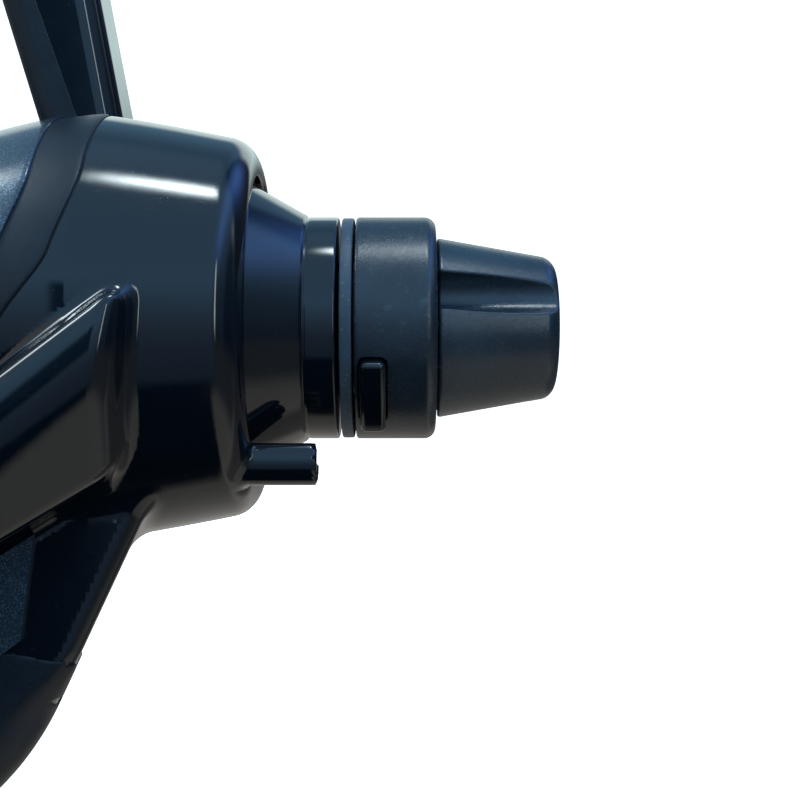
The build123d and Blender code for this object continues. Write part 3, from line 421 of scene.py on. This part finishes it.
# %% Tail cone, index ring and collar
CONE_R, TAIL_R, TUBE_R = 17.5, 13.2, 8.25
CONE_ROOT = DRUM_REAR - 4.2
CONE_END = 44.0
SEAT_END = high("tail_cone")[0] - 11.2
tail = lathe("tail_cone_skin", [
    (CONE_ROOT, CONE_R), (DRUM_REAR - 1.7, CONE_R),
    (CONE_END - 0.1, TAIL_R + 0.25), (CONE_END + 0.15, TAIL_R - 0.1),
    (CONE_END + 0.4, TAIL_R), (SEAT_END, TAIL_R), (SEAT_END, TUBE_R), (high("tail_cone")[0], TUBE_R - 0.05),
    (high("tail_cone")[0], 6.7), (CONE_ROOT, 6.7),
], GLOSS, "reel_body", radius=0.35)
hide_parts("tail_cone")
ring_low, ring_high = low("index_ring"), high("index_ring")
index = lathe("index_ring_skin", [
    (ring_low[0], ring_high[1]), (ring_high[0], ring_high[1]), (ring_high[0], TUBE_R), (ring_low[0], TUBE_R),
], RING, "reel_body", radius=0.28)
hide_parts("index_ring")
print("tail cone ends at", SEAT_END, "ring", ring_low[0], ring_high[0])

# %% [markdown]
# ## One flowing skin
# The drum, the deep gear case, the crank's bulge and the screw boss are one moulding with soft
# fillets. Such a skin is easy to say as a field: a number at each point of space that is negative
# inside. Two fields joined with a rounding give a fillet for free. A grid is sampled, each grid cell
# that the skin crosses gets one vertex, and that vertex is then slid exactly onto the skin.


# %% Joining fields, and a skin over a field
def meet(a, b, r):
    """Both fields at once, with the edge rounded to r."""
    u, v = np.maximum(a + r, 0), np.maximum(b + r, 0)
    return np.minimum(-r, np.maximum(a, b)) + np.sqrt(u * u + v * v)


def join(a, b, r):
    """Either field, with a fillet of r where they come together."""
    return -meet(-a, -b, r)


def cut(a, b, r):
    return meet(a, -b, r)


def slope(field, points):
    step = 0.02
    parts = []
    for k in range(3):
        shift = np.zeros(3)
        shift[k] = step
        parts.append((field(points + shift) - field(points - shift)) / (2 * step))
    return np.stack(parts, axis=-1)


def skin(field, lowest, highest, cell):
    """Vertices, quads and normals of the surface where the field is zero."""
    axes = [np.arange(a, b + cell, cell) for a, b in zip(lowest, highest)]
    grid = np.stack(np.meshgrid(*axes, indexing="ij"), axis=-1)
    inside = field(grid) < 0
    nx, ny, nz = (count - 1 for count in inside.shape)
    corner_count = sum(
        inside[i:nx + i, j:ny + j, k:nz + k].astype(np.int8)
        for i in (0, 1) for j in (0, 1) for k in (0, 1)
    )
    crossed = (corner_count > 0) & (corner_count < 8)
    index = -np.ones(crossed.shape, dtype=np.int64)
    where = np.argwhere(crossed)
    index[crossed] = np.arange(len(where))
    points = np.array(lowest) + (where + 0.5) * cell
    for _ in range(7):
        g = slope(field, points)
        size = np.maximum(np.sum(g * g, axis=-1), 0.05)
        move = (field(points) / size)[:, None] * g
        length = np.linalg.norm(move, axis=-1, keepdims=True)
        points = points - move * np.minimum(1.0, 0.6 * cell / np.maximum(length, 1e-9))
    g = slope(field, points)
    normals = g / np.maximum(np.linalg.norm(g, axis=-1, keepdims=True), 1e-9)
    faces = []
    for axis in range(3):
        first = [slice(None)] * 3
        second = [slice(None)] * 3
        first[axis], second[axis] = slice(0, -1), slice(1, None)
        a, b = inside[tuple(first)], inside[tuple(second)]
        edges = np.argwhere(a != b)
        u, v = (axis + 1) % 3, (axis + 2) % 3
        ok = (edges[:, u] > 0) & (edges[:, v] > 0)
        ok &= (edges[:, u] < inside.shape[u] - 1) & (edges[:, v] < inside.shape[v] - 1)
        edges = edges[ok]
        ring = []
        for du, dv in ((1, 1), (0, 1), (0, 0), (1, 0)):
            cellid = edges.copy()
            cellid[:, u] -= du
            cellid[:, v] -= dv
            ring.append(index[cellid[:, 0], cellid[:, 1], cellid[:, 2]])
        quads = np.stack(ring, axis=-1)
        flip = ~a[tuple(edges.T)]
        quads[flip] = quads[flip][:, ::-1]
        faces.append(quads)
    return points, np.concatenate(faces), normals


def skin_object(name, field, lowest, highest, cell, material, body):
    points, quads, normals = skin(field, lowest, highest, cell)
    placed = points * MM + np.array([0, 0, AXIS_Z])
    obj = mesh_object(name, placed.tolist(), quads.tolist(), material, body)
    obj.data.normals_split_custom_set_from_vertices(normals.tolist())
    print(name, len(points), "vertices")
    return obj


# %% [markdown]
# ## The housing
# The drum's outline swells from the tail to the seam, then narrows to a waist under the stem, and
# flares again to meet the front plate.

# %% The housing's outline along the axis
DRUM_R, DRUM_REAR_R, WAIST_R, FLARE_R = 25.0, 22.5, 20.5, 29.0
RIM_X = DRUM_REAR - 3.2
FLARE_X = -14.0


def smooth(t):
    t = np.clip(t, 0, 1)
    return t * t * (3 - 2 * t)


def seam_at(turn):
    """Where the side cover meets the drum, by degrees from the top: level, then sweeping forward."""
    return SEAM_X + 0.5 - 3.1 * smooth((turn - 50) / 34) - 5.0 * smooth((turn - 74) / 22)


def case_radius(x):
    """The drum and gear case's radius, from the front plate to the drum's rear rim."""
    rear = DRUM_R - (DRUM_R - DRUM_REAR_R) * np.clip((x - SEAM_X) / (RIM_X - SEAM_X), 0, 1.6) ** 1.15
    front = WAIST_R + (DRUM_R - WAIST_R) * smooth((x + 4.0) / (SEAM_X + 5.5)) ** 0.9
    flare = (FLARE_R - WAIST_R) * np.clip((FLARE_X + 1.5 - x) / (FLARE_X + 1.5 - CASE_FRONT), 0, 1) ** 1.6
    return np.where(x > SEAM_X, rear, front) + flare


# %% The housing's field
BELLY_X, BELLY_W, BELLY_R = -13.3, -29.5, 31.3
BELLY_Y = (low("lower_panel")[1] + 0.8, high("side_plate")[1])
TANGENT = radians(-25.0)
BULGE_Y, HUB_Y, HUB_R = -28.0, low("housing")[1], 11.0
BULGE_TOP, BULGE_RISE = (26.2, 3.1), radians(37.0)
BULGE_BOTTOM, BULGE_FALL = (23.3, -17.3), radians(31.8)
BULGE_NOSE = (-4.0, -28.9, 5.3)
BOSS_OUT, BOSS_AT, BOSS_R, BOSS_END = 19.05, radians(234.7), 2.6, high("housing")[0]
REAR_OPENING, DRIVER_R, SHAFT_HOLE_R = 18.0, 1.75, 5.0


def belly_section(x, y, w):
    """The belly seen from the side: a round, with a straight back that runs up to the drum.

    It narrows towards the far side, as a moulding must to leave its tool.
    """
    radius = BELLY_R + 1.9 - 0.135 * (y - BELLY_Y[0])
    disc = np.hypot(x - BELLY_X, w - BELLY_W) - radius
    back = (x - BELLY_X) * cos(TANGENT) + (w - BELLY_W) * sin(TANGENT) - radius
    foot = BELLY_W + radius * sin(TANGENT)
    straight = np.maximum(np.maximum(back, foot - w), w + 12)
    return np.minimum(disc, straight)


def belly_field(x, y, w):
    middle, half = (BELLY_Y[0] + BELLY_Y[1]) / 2, (BELLY_Y[1] - BELLY_Y[0]) / 2
    rounding = 2.0 + 4.5 * smooth((-36.0 - w) / 9.0)
    return meet(belly_section(x, y, w), np.abs(y - middle) - half, rounding)


def bulge_field(x, y, w):
    """A ridge that runs down to the crank: a tight crest, a rounded near face, then a long slope."""
    drop = (x - BULGE_TOP[0]) * sin(BULGE_RISE) - (w - BULGE_TOP[1]) * cos(BULGE_RISE)
    lower = (x - BULGE_BOTTOM[0]) * sin(BULGE_FALL) - (w - BULGE_BOTTOM[1]) * cos(BULGE_FALL)
    bend = np.minimum(drop - 3.9, 5.4)
    fall = BULGE_Y + 0.066 * bend ** 2 + 0.713 * np.maximum(drop - 9.3, 0)
    face = (fall - y) / np.sqrt(1 + (0.132 * bend) ** 2)
    ridge = meet(-drop, face, 1.3)
    ridge = meet(ridge, lower, 0.9)
    wall = x - 26.9 - w / 16
    nose_x, nose_w, nose_r = BULGE_NOSE
    ahead = (x - nose_x) * cos(BULGE_RISE) + (w - nose_w) * sin(BULGE_RISE)
    nose = np.maximum(np.hypot(x - nose_x, w - nose_w) - nose_r, BULGE_Y + 1.0 - y)
    return np.maximum(np.where(ahead > 0, meet(ridge, wall, 2.6), nose), y + 4)


def housing_field(p):
    x, y, w = p[..., 0], p[..., 1], p[..., 2]
    around = np.hypot(y, w)
    drum = meet(around - case_radius(x), x - DRUM_REAR, 3.0)
    body = join(drum, np.maximum(belly_field(x, y, w), y - BELLY_Y[1] + 2.3), 1.6)
    body = join(body, bulge_field(x, y, w), 1.6)
    hub = meet(np.hypot(x - CRANK_X, w - CRANK_W) - HUB_R, np.maximum(HUB_Y - y, y + 4), 1.0)
    body = join(body, hub, 1.2)
    boss_y, boss_w = BOSS_OUT * cos(BOSS_AT), BOSS_OUT * sin(BOSS_AT)
    boss = np.hypot(y - boss_y, w - boss_w) - BOSS_R
    body = join(body, meet(boss, np.maximum(x - BOSS_END, 30 - x), 0.35), 0.7)
    driver = np.maximum(np.hypot(y - boss_y, w - boss_w) - DRIVER_R, BOSS_END - 1.2 - x)
    body = cut(body, driver, 0.12)
    opening = np.maximum(around - REAR_OPENING, 33 - x)
    body = cut(body, opening, 0.4)
    slot = np.maximum(np.maximum(np.abs(y) - 2.6, np.abs(x + 18.0) - 6.4), 12 - w)
    body = cut(body, slot, 0.4)
    shaft = np.maximum(np.hypot(x - CRANK_X, w - CRANK_W) - SHAFT_HOLE_R, y + 20)
    body = cut(body, shaft, 0.3)
    return np.maximum(body, CASE_FRONT - x)


# %% Make the housing
CELL = 0.5
housing = skin_object(
    "housing_skin", housing_field, (CASE_FRONT - 0.7, HUB_Y - 1, BELLY_W - BELLY_R - 1),
    (BOSS_END + 1, 26.5, 31), CELL, GLOSS, "reel_body",
)
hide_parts("housing")

# %% [markdown]
# ## The drag knob
# The knob is a turned taper with three finger grooves. The grooves are cut with a rounding, which
# leaves the thin bright line that a moulded edge catches.

# %% The drag knob
KNOB_FROM, KNOB_END = high("selector_collar")[0] + 0.2, high("drag_knob")[0]
KNOB_ROOT_R, KNOB_TIP_R, KNOB_LENGTH = 10.75, 8.3, 13.9
FLUTES = [radians(158 + 120 * k) for k in range(3)]
FLUTE_AT, FLUTE_R = 9.7, 2.3    # the bottom circle's place from the axis, and its radius


def knob_field(p):
    x, y, w = p[..., 0], p[..., 1], p[..., 2]
    around = np.hypot(y, w)
    taper = KNOB_ROOT_R - (x - KNOB_FROM) * (KNOB_ROOT_R - KNOB_TIP_R) / KNOB_LENGTH
    dome = x - (KNOB_END - 0.3 * (around / KNOB_TIP_R) ** 2)
    body = meet(around - taper, dome, 1.5)
    body = meet(body, KNOB_FROM - x, 0.35)
    for a in FLUTES:
        out, side = y * cos(a) + w * sin(a), w * cos(a) - y * sin(a)
        reach = np.hypot(np.minimum(out - FLUTE_AT, 0), side) - FLUTE_R
        body = cut(body, np.maximum(reach, -out), 0.28)
    return body


knob = skin_object(
    "drag_knob_skin", knob_field, (KNOB_FROM - 0.6, -11.5, -11.5), (KNOB_END + 0.6, 11.5, 11.5),
    0.2, KNOB, "knob",
)
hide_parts("drag_knob")

# %% [markdown]
# ## Collar and tab
# The collar turns ahead of the knob. Its tab is a glossy insert that stands proud of the satin band,
# set in a pocket with a fine gap round it.

# %% The selector collar and its tab
COLLAR_LOW, COLLAR_HIGH = low("selector_collar"), high("selector_collar")
TAB_LOW, TAB_HIGH = low("selector_tab"), high("selector_tab")
TAB_MIDDLE = radians(180 + 37.0)
TAB_HALF = radians(19.0)


def tab_shape(p, gap, top, rounding):
    x, y, w = p[..., 0], p[..., 1], p[..., 2]
    around = np.hypot(y, w)
    turn = np.arctan2(y * -sin(TAB_MIDDLE) + w * cos(TAB_MIDDLE), y * cos(TAB_MIDDLE) + w * sin(TAB_MIDDLE))
    side = (np.abs(turn) - TAB_HALF) * around - gap
    middle, half = (TAB_LOW[0] + TAB_HIGH[0]) / 2, (TAB_HIGH[0] - TAB_LOW[0]) / 2
    ends = np.abs(x - middle) - half - gap
    return meet(meet(side, ends, rounding), np.maximum(around - top, 11.5 - around), rounding * 0.8)


def collar_field(p):
    x, y, w = p[..., 0], p[..., 1], p[..., 2]
    around = np.hypot(y, w)
    body = meet(around - COLLAR_HIGH[1], x - COLLAR_HIGH[0], 1.3)
    body = meet(body, COLLAR_LOW[0] - x, 0.35)
    body = cut(body, tab_shape(p, 0.16, 30, 0.8), 0.12)
    return np.maximum(body, 9.0 - around)


collar = skin_object(
    "selector_collar_skin", collar_field, (COLLAR_LOW[0] - 0.5, -14, -14), (COLLAR_HIGH[0] + 0.5, 14, 14),
    0.22, COLLAR, "selector",
)
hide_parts("selector_collar")
tab = skin_object(
    "selector_tab_skin", lambda p: tab_shape(p, 0, 15.0, 0.75), (TAB_LOW[0] - 0.5, -16, -16),
    (TAB_HIGH[0] + 0.5, 1, 1), 0.16, TAB, "selector",
)
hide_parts("selector_tab")

# %% [markdown]
# ## Side covers and painted panels
# Each cover is a thin satin shell on the waist, and its painted panel lies inside a border of it.
# Both follow the case's outline, so they are sheets laid out along the axis and round it. A thin
# dark strip, laid the same way, fills the seam between the cover and the drum: painted shade for the gap.


# %% Sheets that follow the case
def wrapped_sheet(name, edges, lift, thickness, material, sign, rows=48, columns=40):
    """A sheet on the case. edges(v) gives (front x, rear x) at v from 0 at the top to 1 below."""
    vertices, faces = [], []
    for j in range(rows + 1):
        v = j / rows
        x_front, x_rear, angle = edges(v)
        for i in range(columns + 1):
            x = x_front + (x_rear - x_front) * i / columns
            r = float(case_radius(np.array(x))) + lift
            vertices.append((x * MM, -sign * r * sin(angle) * MM, AXIS_Z + r * cos(angle) * MM))
    wide = columns + 1
    for j in range(rows):
        for i in range(columns):
            faces.append((j * wide + i, j * wide + i + 1, (j + 1) * wide + i + 1, (j + 1) * wide + i))
    obj = mesh_object(name, vertices, faces, material, "reel_body")
    outward(obj)
    solid = obj.modifiers.new("thickness", "SOLIDIFY")
    solid.thickness = thickness * MM
    solid.offset = -1.0
    edge = obj.modifiers.new("edge", "BEVEL")
    edge.width = 0.22 * MM
    edge.segments = 3
    edge.limit_method = "ANGLE"
    return obj


def cover_edges(v):
    angle = radians(0.5 + 92.0 * v)
    return -13.0, float(seam_at(degrees(angle))), angle


def panel_edges(v):
    angle = radians(7.0 + 74.0 * v)
    return -12.3, float(seam_at(degrees(angle))) - 5.6, angle


# The seam's dark strip: painted shade along the gap at the cover's rear edge.
def seam_shade_edges(v):
    angle = radians(0.5 + 92.0 * v)
    seam = float(seam_at(degrees(angle)))
    return seam - 0.1, seam + 0.28, angle


for side, sign in (("near", 1), ("far", -1)):
    # a thin dark sheet in the seam, as painted shade for the gap between cover and drum
    wrapped_sheet(f"seam_shade_strip_{side}", seam_shade_edges, 0.035, 0.5, RUBBER, sign, columns=2)
    cover = wrapped_sheet(f"side_cover_{side}_skin", cover_edges, 0.22, 0.9, SATIN, sign)
    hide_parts(f"side_cover_{side}")
    panel = wrapped_sheet(f"side_panel_{side}_skin", panel_edges, 0.55, 0.6, PANEL, sign)
    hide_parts(f"side_panel_{side}")
print("covers and panels laid")

# %% [markdown]
# ## The rear guard
# A satin shoe takes the knocks when the reel is put down. It is the belly's own field, a little
# larger, below a line that dips at the back.

# %% The rear guard
def guard_field(p):
    x, y, w = p[..., 0], p[..., 1], p[..., 2]
    inward = np.clip(y - BELLY_Y[0], 0, 12)
    edge = w + 36.2 + 0.9 * smooth((x - 12.0) / 6.0) + 0.35 * inward
    belly = belly_field(x, y, w)
    shell = np.maximum(belly - 0.2, -belly - 1.2)
    hub = np.hypot(x - CRANK_X, w - CRANK_W) - HUB_R - 0.4
    body = cut(meet(shell, edge, 0.3), np.maximum(hub, y + 8), 0.2)
    notch = np.maximum(np.abs(x - 17.0) - 0.45 - 0.1 * (w + 45), np.abs(w + 43.4) - 1.4)
    body = cut(body, np.maximum(notch, y + 9), 0.1)
    return np.maximum(body, CASE_FRONT + 0.1 - x)


guard = skin_object(
    "rear_guard_skin", guard_field, (CASE_FRONT - 0.5, BELLY_Y[0] - 1, BELLY_W - BELLY_R - 3),
    (24, BELLY_Y[1] + 1, -34), 0.45, SATIN, "reel_body",
)
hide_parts("rear_guard")


# %% [markdown]
# ## The side plate
# A flat lid closes the gear case on the far side. It is the belly's outline again, cut just inside
# it, with a counterbore over each screw.

# %% The plate that closes the gear case on the far side
SCREW_ORBIT, COUNTERBORE_R = 27.1, 2.05
SCREWS = [radians(a) for a in (-28.0, -52.0, -80.0, -108.0)]


def plate_field(p):
    x, y, w = p[..., 0], p[..., 1], p[..., 2]
    plate = meet(belly_section(x, y, w) + 0.35, y - BELLY_Y[1], 0.8)
    plate = np.maximum(plate, BELLY_Y[1] - 2.2 - y)
    plate = cut(plate, np.hypot(y, w) - case_radius(x) - 0.15, 0.2)
    for a in SCREWS:
        screw_x, screw_w = BELLY_X + SCREW_ORBIT * cos(a), BELLY_W + SCREW_ORBIT * sin(a)
        reach = np.hypot(x - screw_x, w - screw_w) - COUNTERBORE_R
        plate = cut(plate, np.maximum(reach, BELLY_Y[1] - 1.0 - y), 0.15)
    return np.maximum(plate, CASE_FRONT + 0.1 - x)


plate = skin_object(
    "side_plate_skin", plate_field, (CASE_FRONT - 0.5, BELLY_Y[1] - 3, BELLY_W - BELLY_R - 3),
    (28, BELLY_Y[1] + 1, -10), 0.45, GLOSS, "reel_body",
)
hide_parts("side_plate")

# %% [markdown]
# ## Stage, light and camera
# A pale floor under a white tent gives the studio look. A real tent would also wash out the gloss,
# so these boards are seen by the camera alone, and the light comes from the room painted below.


# %% Stage
def board(name, corners):
    """A plain sheet that only the camera sees, so it throws no glare on the gloss."""
    mesh = bpy.data.meshes.new(name)
    mesh.from_pydata(corners, [], [(0, 1, 2, 3)])
    obj = bpy.data.objects.new(name, mesh)
    bpy.context.scene.collection.objects.link(obj)
    f = Finish(name + "_finish", Roughness=0.9)
    f.shader.inputs["Base Color"].default_value = (1, 1, 1, 1)
    f.shader.inputs["Emission Color"].default_value = (1, 1, 1, 1)
    f.shader.inputs["Emission Strength"].default_value = 0.95
    mesh.materials.append(f.material)
    obj.visible_glossy = obj.visible_diffuse = obj.visible_shadow = False
    return obj


FLOOR_Z, CEILING_Z, TENT, BACKDROP_Y = cad_box[0][2] - 0.001, 2.5, 3, 1.2
for level, z in (("floor", FLOOR_Z), ("ceiling", CEILING_Z)):
    board(level, [(-TENT, -TENT, z), (TENT, -TENT, z), (TENT, TENT, z), (-TENT, TENT, z)])
WALLS = {
    "backdrop": ((-TENT, BACKDROP_Y), (TENT, BACKDROP_Y)), "front": ((-TENT, -TENT), (TENT, -TENT)),
    "left": ((-TENT, -TENT), (-TENT, TENT)), "right": ((TENT, -TENT), (TENT, TENT)),
}
for side, ((x0, y0), (x1, y1)) in WALLS.items():
    board(side, [(x0, y0, FLOOR_Z), (x1, y1, FLOOR_Z), (x1, y1, CEILING_Z), (x0, y0, CEILING_Z)])
print("tent of", 2 + len(WALLS), "boards")

# %% [markdown]
# ## A room of light
# Dark gloss shows almost nothing but its surroundings, so the room matters more than any lamp. The
# world is painted by direction. In front of the reel it goes from black below to blue above, and
# behind it from a warm floor to a pale wall. The sides get their own tones, soft-edged lamps hang
# overhead, and one narrow window stands at the rear end.


# %% The room
world = bpy.data.worlds.new("room")
bpy.context.scene.world = world
world.use_nodes = True
tree = world.node_tree
direction = tree.nodes.new("ShaderNodeTexCoord")
parts = tree.nodes.new("ShaderNodeSeparateXYZ")
tree.links.new(direction.outputs["Generated"], parts.inputs[0])
to_x, to_y, to_z = (Value(tree, socket) for socket in parts.outputs)


def painted(stops):
    """Colours by height: stops are (z from -1 to 1, colour)."""
    ramp = tree.nodes.new("ShaderNodeValToRGB")
    height = 0.5 + 0.5 * to_z
    tree.links.new(height.socket, ramp.inputs["Fac"])
    while len(ramp.color_ramp.elements) < len(stops):
        ramp.color_ramp.elements.new(0.5)
    for element, (z, colour) in zip(ramp.color_ramp.elements, stops):
        element.position = 0.5 + 0.5 * z
    for element, (z, colour) in zip(ramp.color_ramp.elements, stops):
        element.color = (*colour, 1)
    return ramp.outputs["Color"]


def blend(factor, first, second):
    node = tree.nodes.new("ShaderNodeMix")
    node.data_type = "RGBA"
    tree.links.new(factor.socket, node.inputs[0])
    tree.links.new(first, node.inputs[6])
    tree.links.new(second, node.inputs[7])
    return node.outputs[2]


# %% The wall in front of the reel, and the one behind it
front = painted([
    (-1.0, (0.001, 0.003, 0.006)), (-0.58, (0.002, 0.006, 0.012)), (-0.50, (0.08, 0.12, 0.18)),
    (-0.20, (0.12, 0.18, 0.27)), (0.05, (0.19, 0.31, 0.46)), (0.40, (0.30, 0.60, 0.92)),
    (0.74, (0.28, 0.52, 0.82)), (1.0, (0.28, 0.50, 0.75)),
])
behind = painted([
    (-1.0, (0.002, 0.004, 0.006)), (-0.985, (0.01, 0.01, 0.01)), (-0.955, (0.26, 0.25, 0.23)),
    (-0.30, (0.40, 0.39, 0.37)), (-0.10, (0.22, 0.21, 0.20)), (0.16, (0.10, 0.11, 0.12)),
    (0.30, (0.80, 1.0, 1.0)), (0.52, (0.85, 1.0, 1.0)), (0.62, (0.14, 0.28, 0.42)),
    (0.90, (0.12, 0.26, 0.40)), (1.0, (0.28, 0.50, 0.75)),
])
room = blend(to_y.band(-0.06, 0.12), front, behind)

# %% The sides of the room, each blended in where its direction begins
right = painted([
    (-1.0, (0.11, 0.12, 0.12)), (-0.25, (0.11, 0.12, 0.12)), (-0.1, (0.06, 0.08, 0.10)),
    (0.3, (0.10, 0.17, 0.26)), (1.0, (0.28, 0.50, 0.75)),
])
left = painted([
    (-1.0, (0.002, 0.004, 0.006)), (-0.06, (0.006, 0.010, 0.016)), (0.04, (0.02, 0.05, 0.09)),
    (0.31, (0.03, 0.07, 0.12)), (0.36, (0.30, 0.60, 0.92)), (1.0, (0.28, 0.50, 0.75)),
])
corner = painted([
    (-1.0, (0.002, 0.004, 0.006)), (0.0, (0.01, 0.01, 0.01)), (0.10, (0.55, 0.54, 0.52)),
    (0.50, (0.45, 0.46, 0.47)), (1.0, (0.28, 0.50, 0.75)),
])
room = blend(to_x.band(0.30, 0.50) * (1 - to_y.band(0.0, 0.2)), room, right)
strip = (1 - to_x.band(-0.24, -0.14)) * to_x.band(-0.46, -0.38)
room = blend(strip * (1 - to_y.band(-0.5, -0.1)), room, left)
room = blend((1 - to_x.band(-0.72, -0.62)) * (1 - to_y.band(-0.4, 0.0)), room, corner)
dark = painted([
    (-1.0, (0.10, 0.10, 0.10)), (-0.25, (0.10, 0.10, 0.10)), (-0.1, (0.01, 0.02, 0.03)),
    (1.0, (0.06, 0.10, 0.16)),
])
room = blend(to_x.band(0.82, 0.92) * 0.9, room, dark)
ground = painted([(-1.0, (0.42, 0.41, 0.37)), (1.0, (0.42, 0.41, 0.37))])
room = blend(to_x.band(0.21, 0.31) * (1 - to_z.band(-0.72, -0.50)) * 0.9, room, ground)
far_wall = painted([(-1.0, (0.20, 0.19, 0.18)), (0.0, (0.03, 0.03, 0.03)), (1.0, (0.02, 0.03, 0.04))])
room = blend(to_x.band(0.30, 0.40) * to_y.band(0.12, 0.30), room, far_wall)


# %% Lamps, the window and a patch of sky
def bell(u, v):
    """1 where u and v are 0, and falling softly to 0 all round."""
    return (u * u * -1.0 - v * v).math("EXPONENT")


def lamp_at(x, y, width, depth, power):
    """A soft-edged lamp overhead, by where its direction falls on the x and y axes."""
    across, along = (to_x - x) / width, (to_y - y) / depth
    return power * bell(across, along) * to_z.band(0.0, 0.3)


lamp = lamp_at(0.11, -0.13, 0.10, 0.06, 24.0) + lamp_at(-0.66, 0.05, 0.13, 0.10, 12.0)
across = (to_x - 0.50) / 0.03
window = 5.0 * (across * across * -1.0).math("EXPONENT") * (1 - to_y.band(-0.2, 0.0))
window = window * to_z.band(-0.2, 0.1) * (1 - to_z.band(0.45, 0.6))
glow = tree.nodes.new("ShaderNodeCombineColor")
rise, reach = (to_z - 0.72) / 0.20, (to_x - 0.58) / 0.16
sky = bell(rise, reach)
for socket, share, tint in zip(glow.inputs, (0.84, 0.97, 1.0), (0.20, 0.50, 1.50)):
    tree.links.new((share * (lamp + window) + tint * sky).socket, socket)
total = tree.nodes.new("ShaderNodeMix")
total.data_type = "RGBA"
total.blend_type = "ADD"
total.inputs[0].default_value = 1.0
tree.links.new(room, total.inputs[6])
tree.links.new(glow.outputs[0], total.inputs[7])
tree.links.new(total.outputs[2], tree.nodes["Background"].inputs[0])
tree.nodes["Background"].inputs[1].default_value = 1.0
print("room painted")

# %% [markdown]
# ## Camera
# The camera stands close on the crank's side and looks straight across the reel, so that the rear
# end fills the frame.

# %% Camera
camera = bpy.data.cameras.new("camera")
camera.lens = 60.75
camera.clip_start = 0.005
view = bpy.data.objects.new("camera", camera)
view.location = (0.055, -0.162, AXIS_Z - 0.0086)
view.rotation_euler = (pi / 2, 0, 0)
bpy.context.scene.collection.objects.link(view)
bpy.context.scene.camera = view
bpy.context.scene.view_settings.view_transform = "Standard"
bpy.context.scene.view_settings.look = "None"
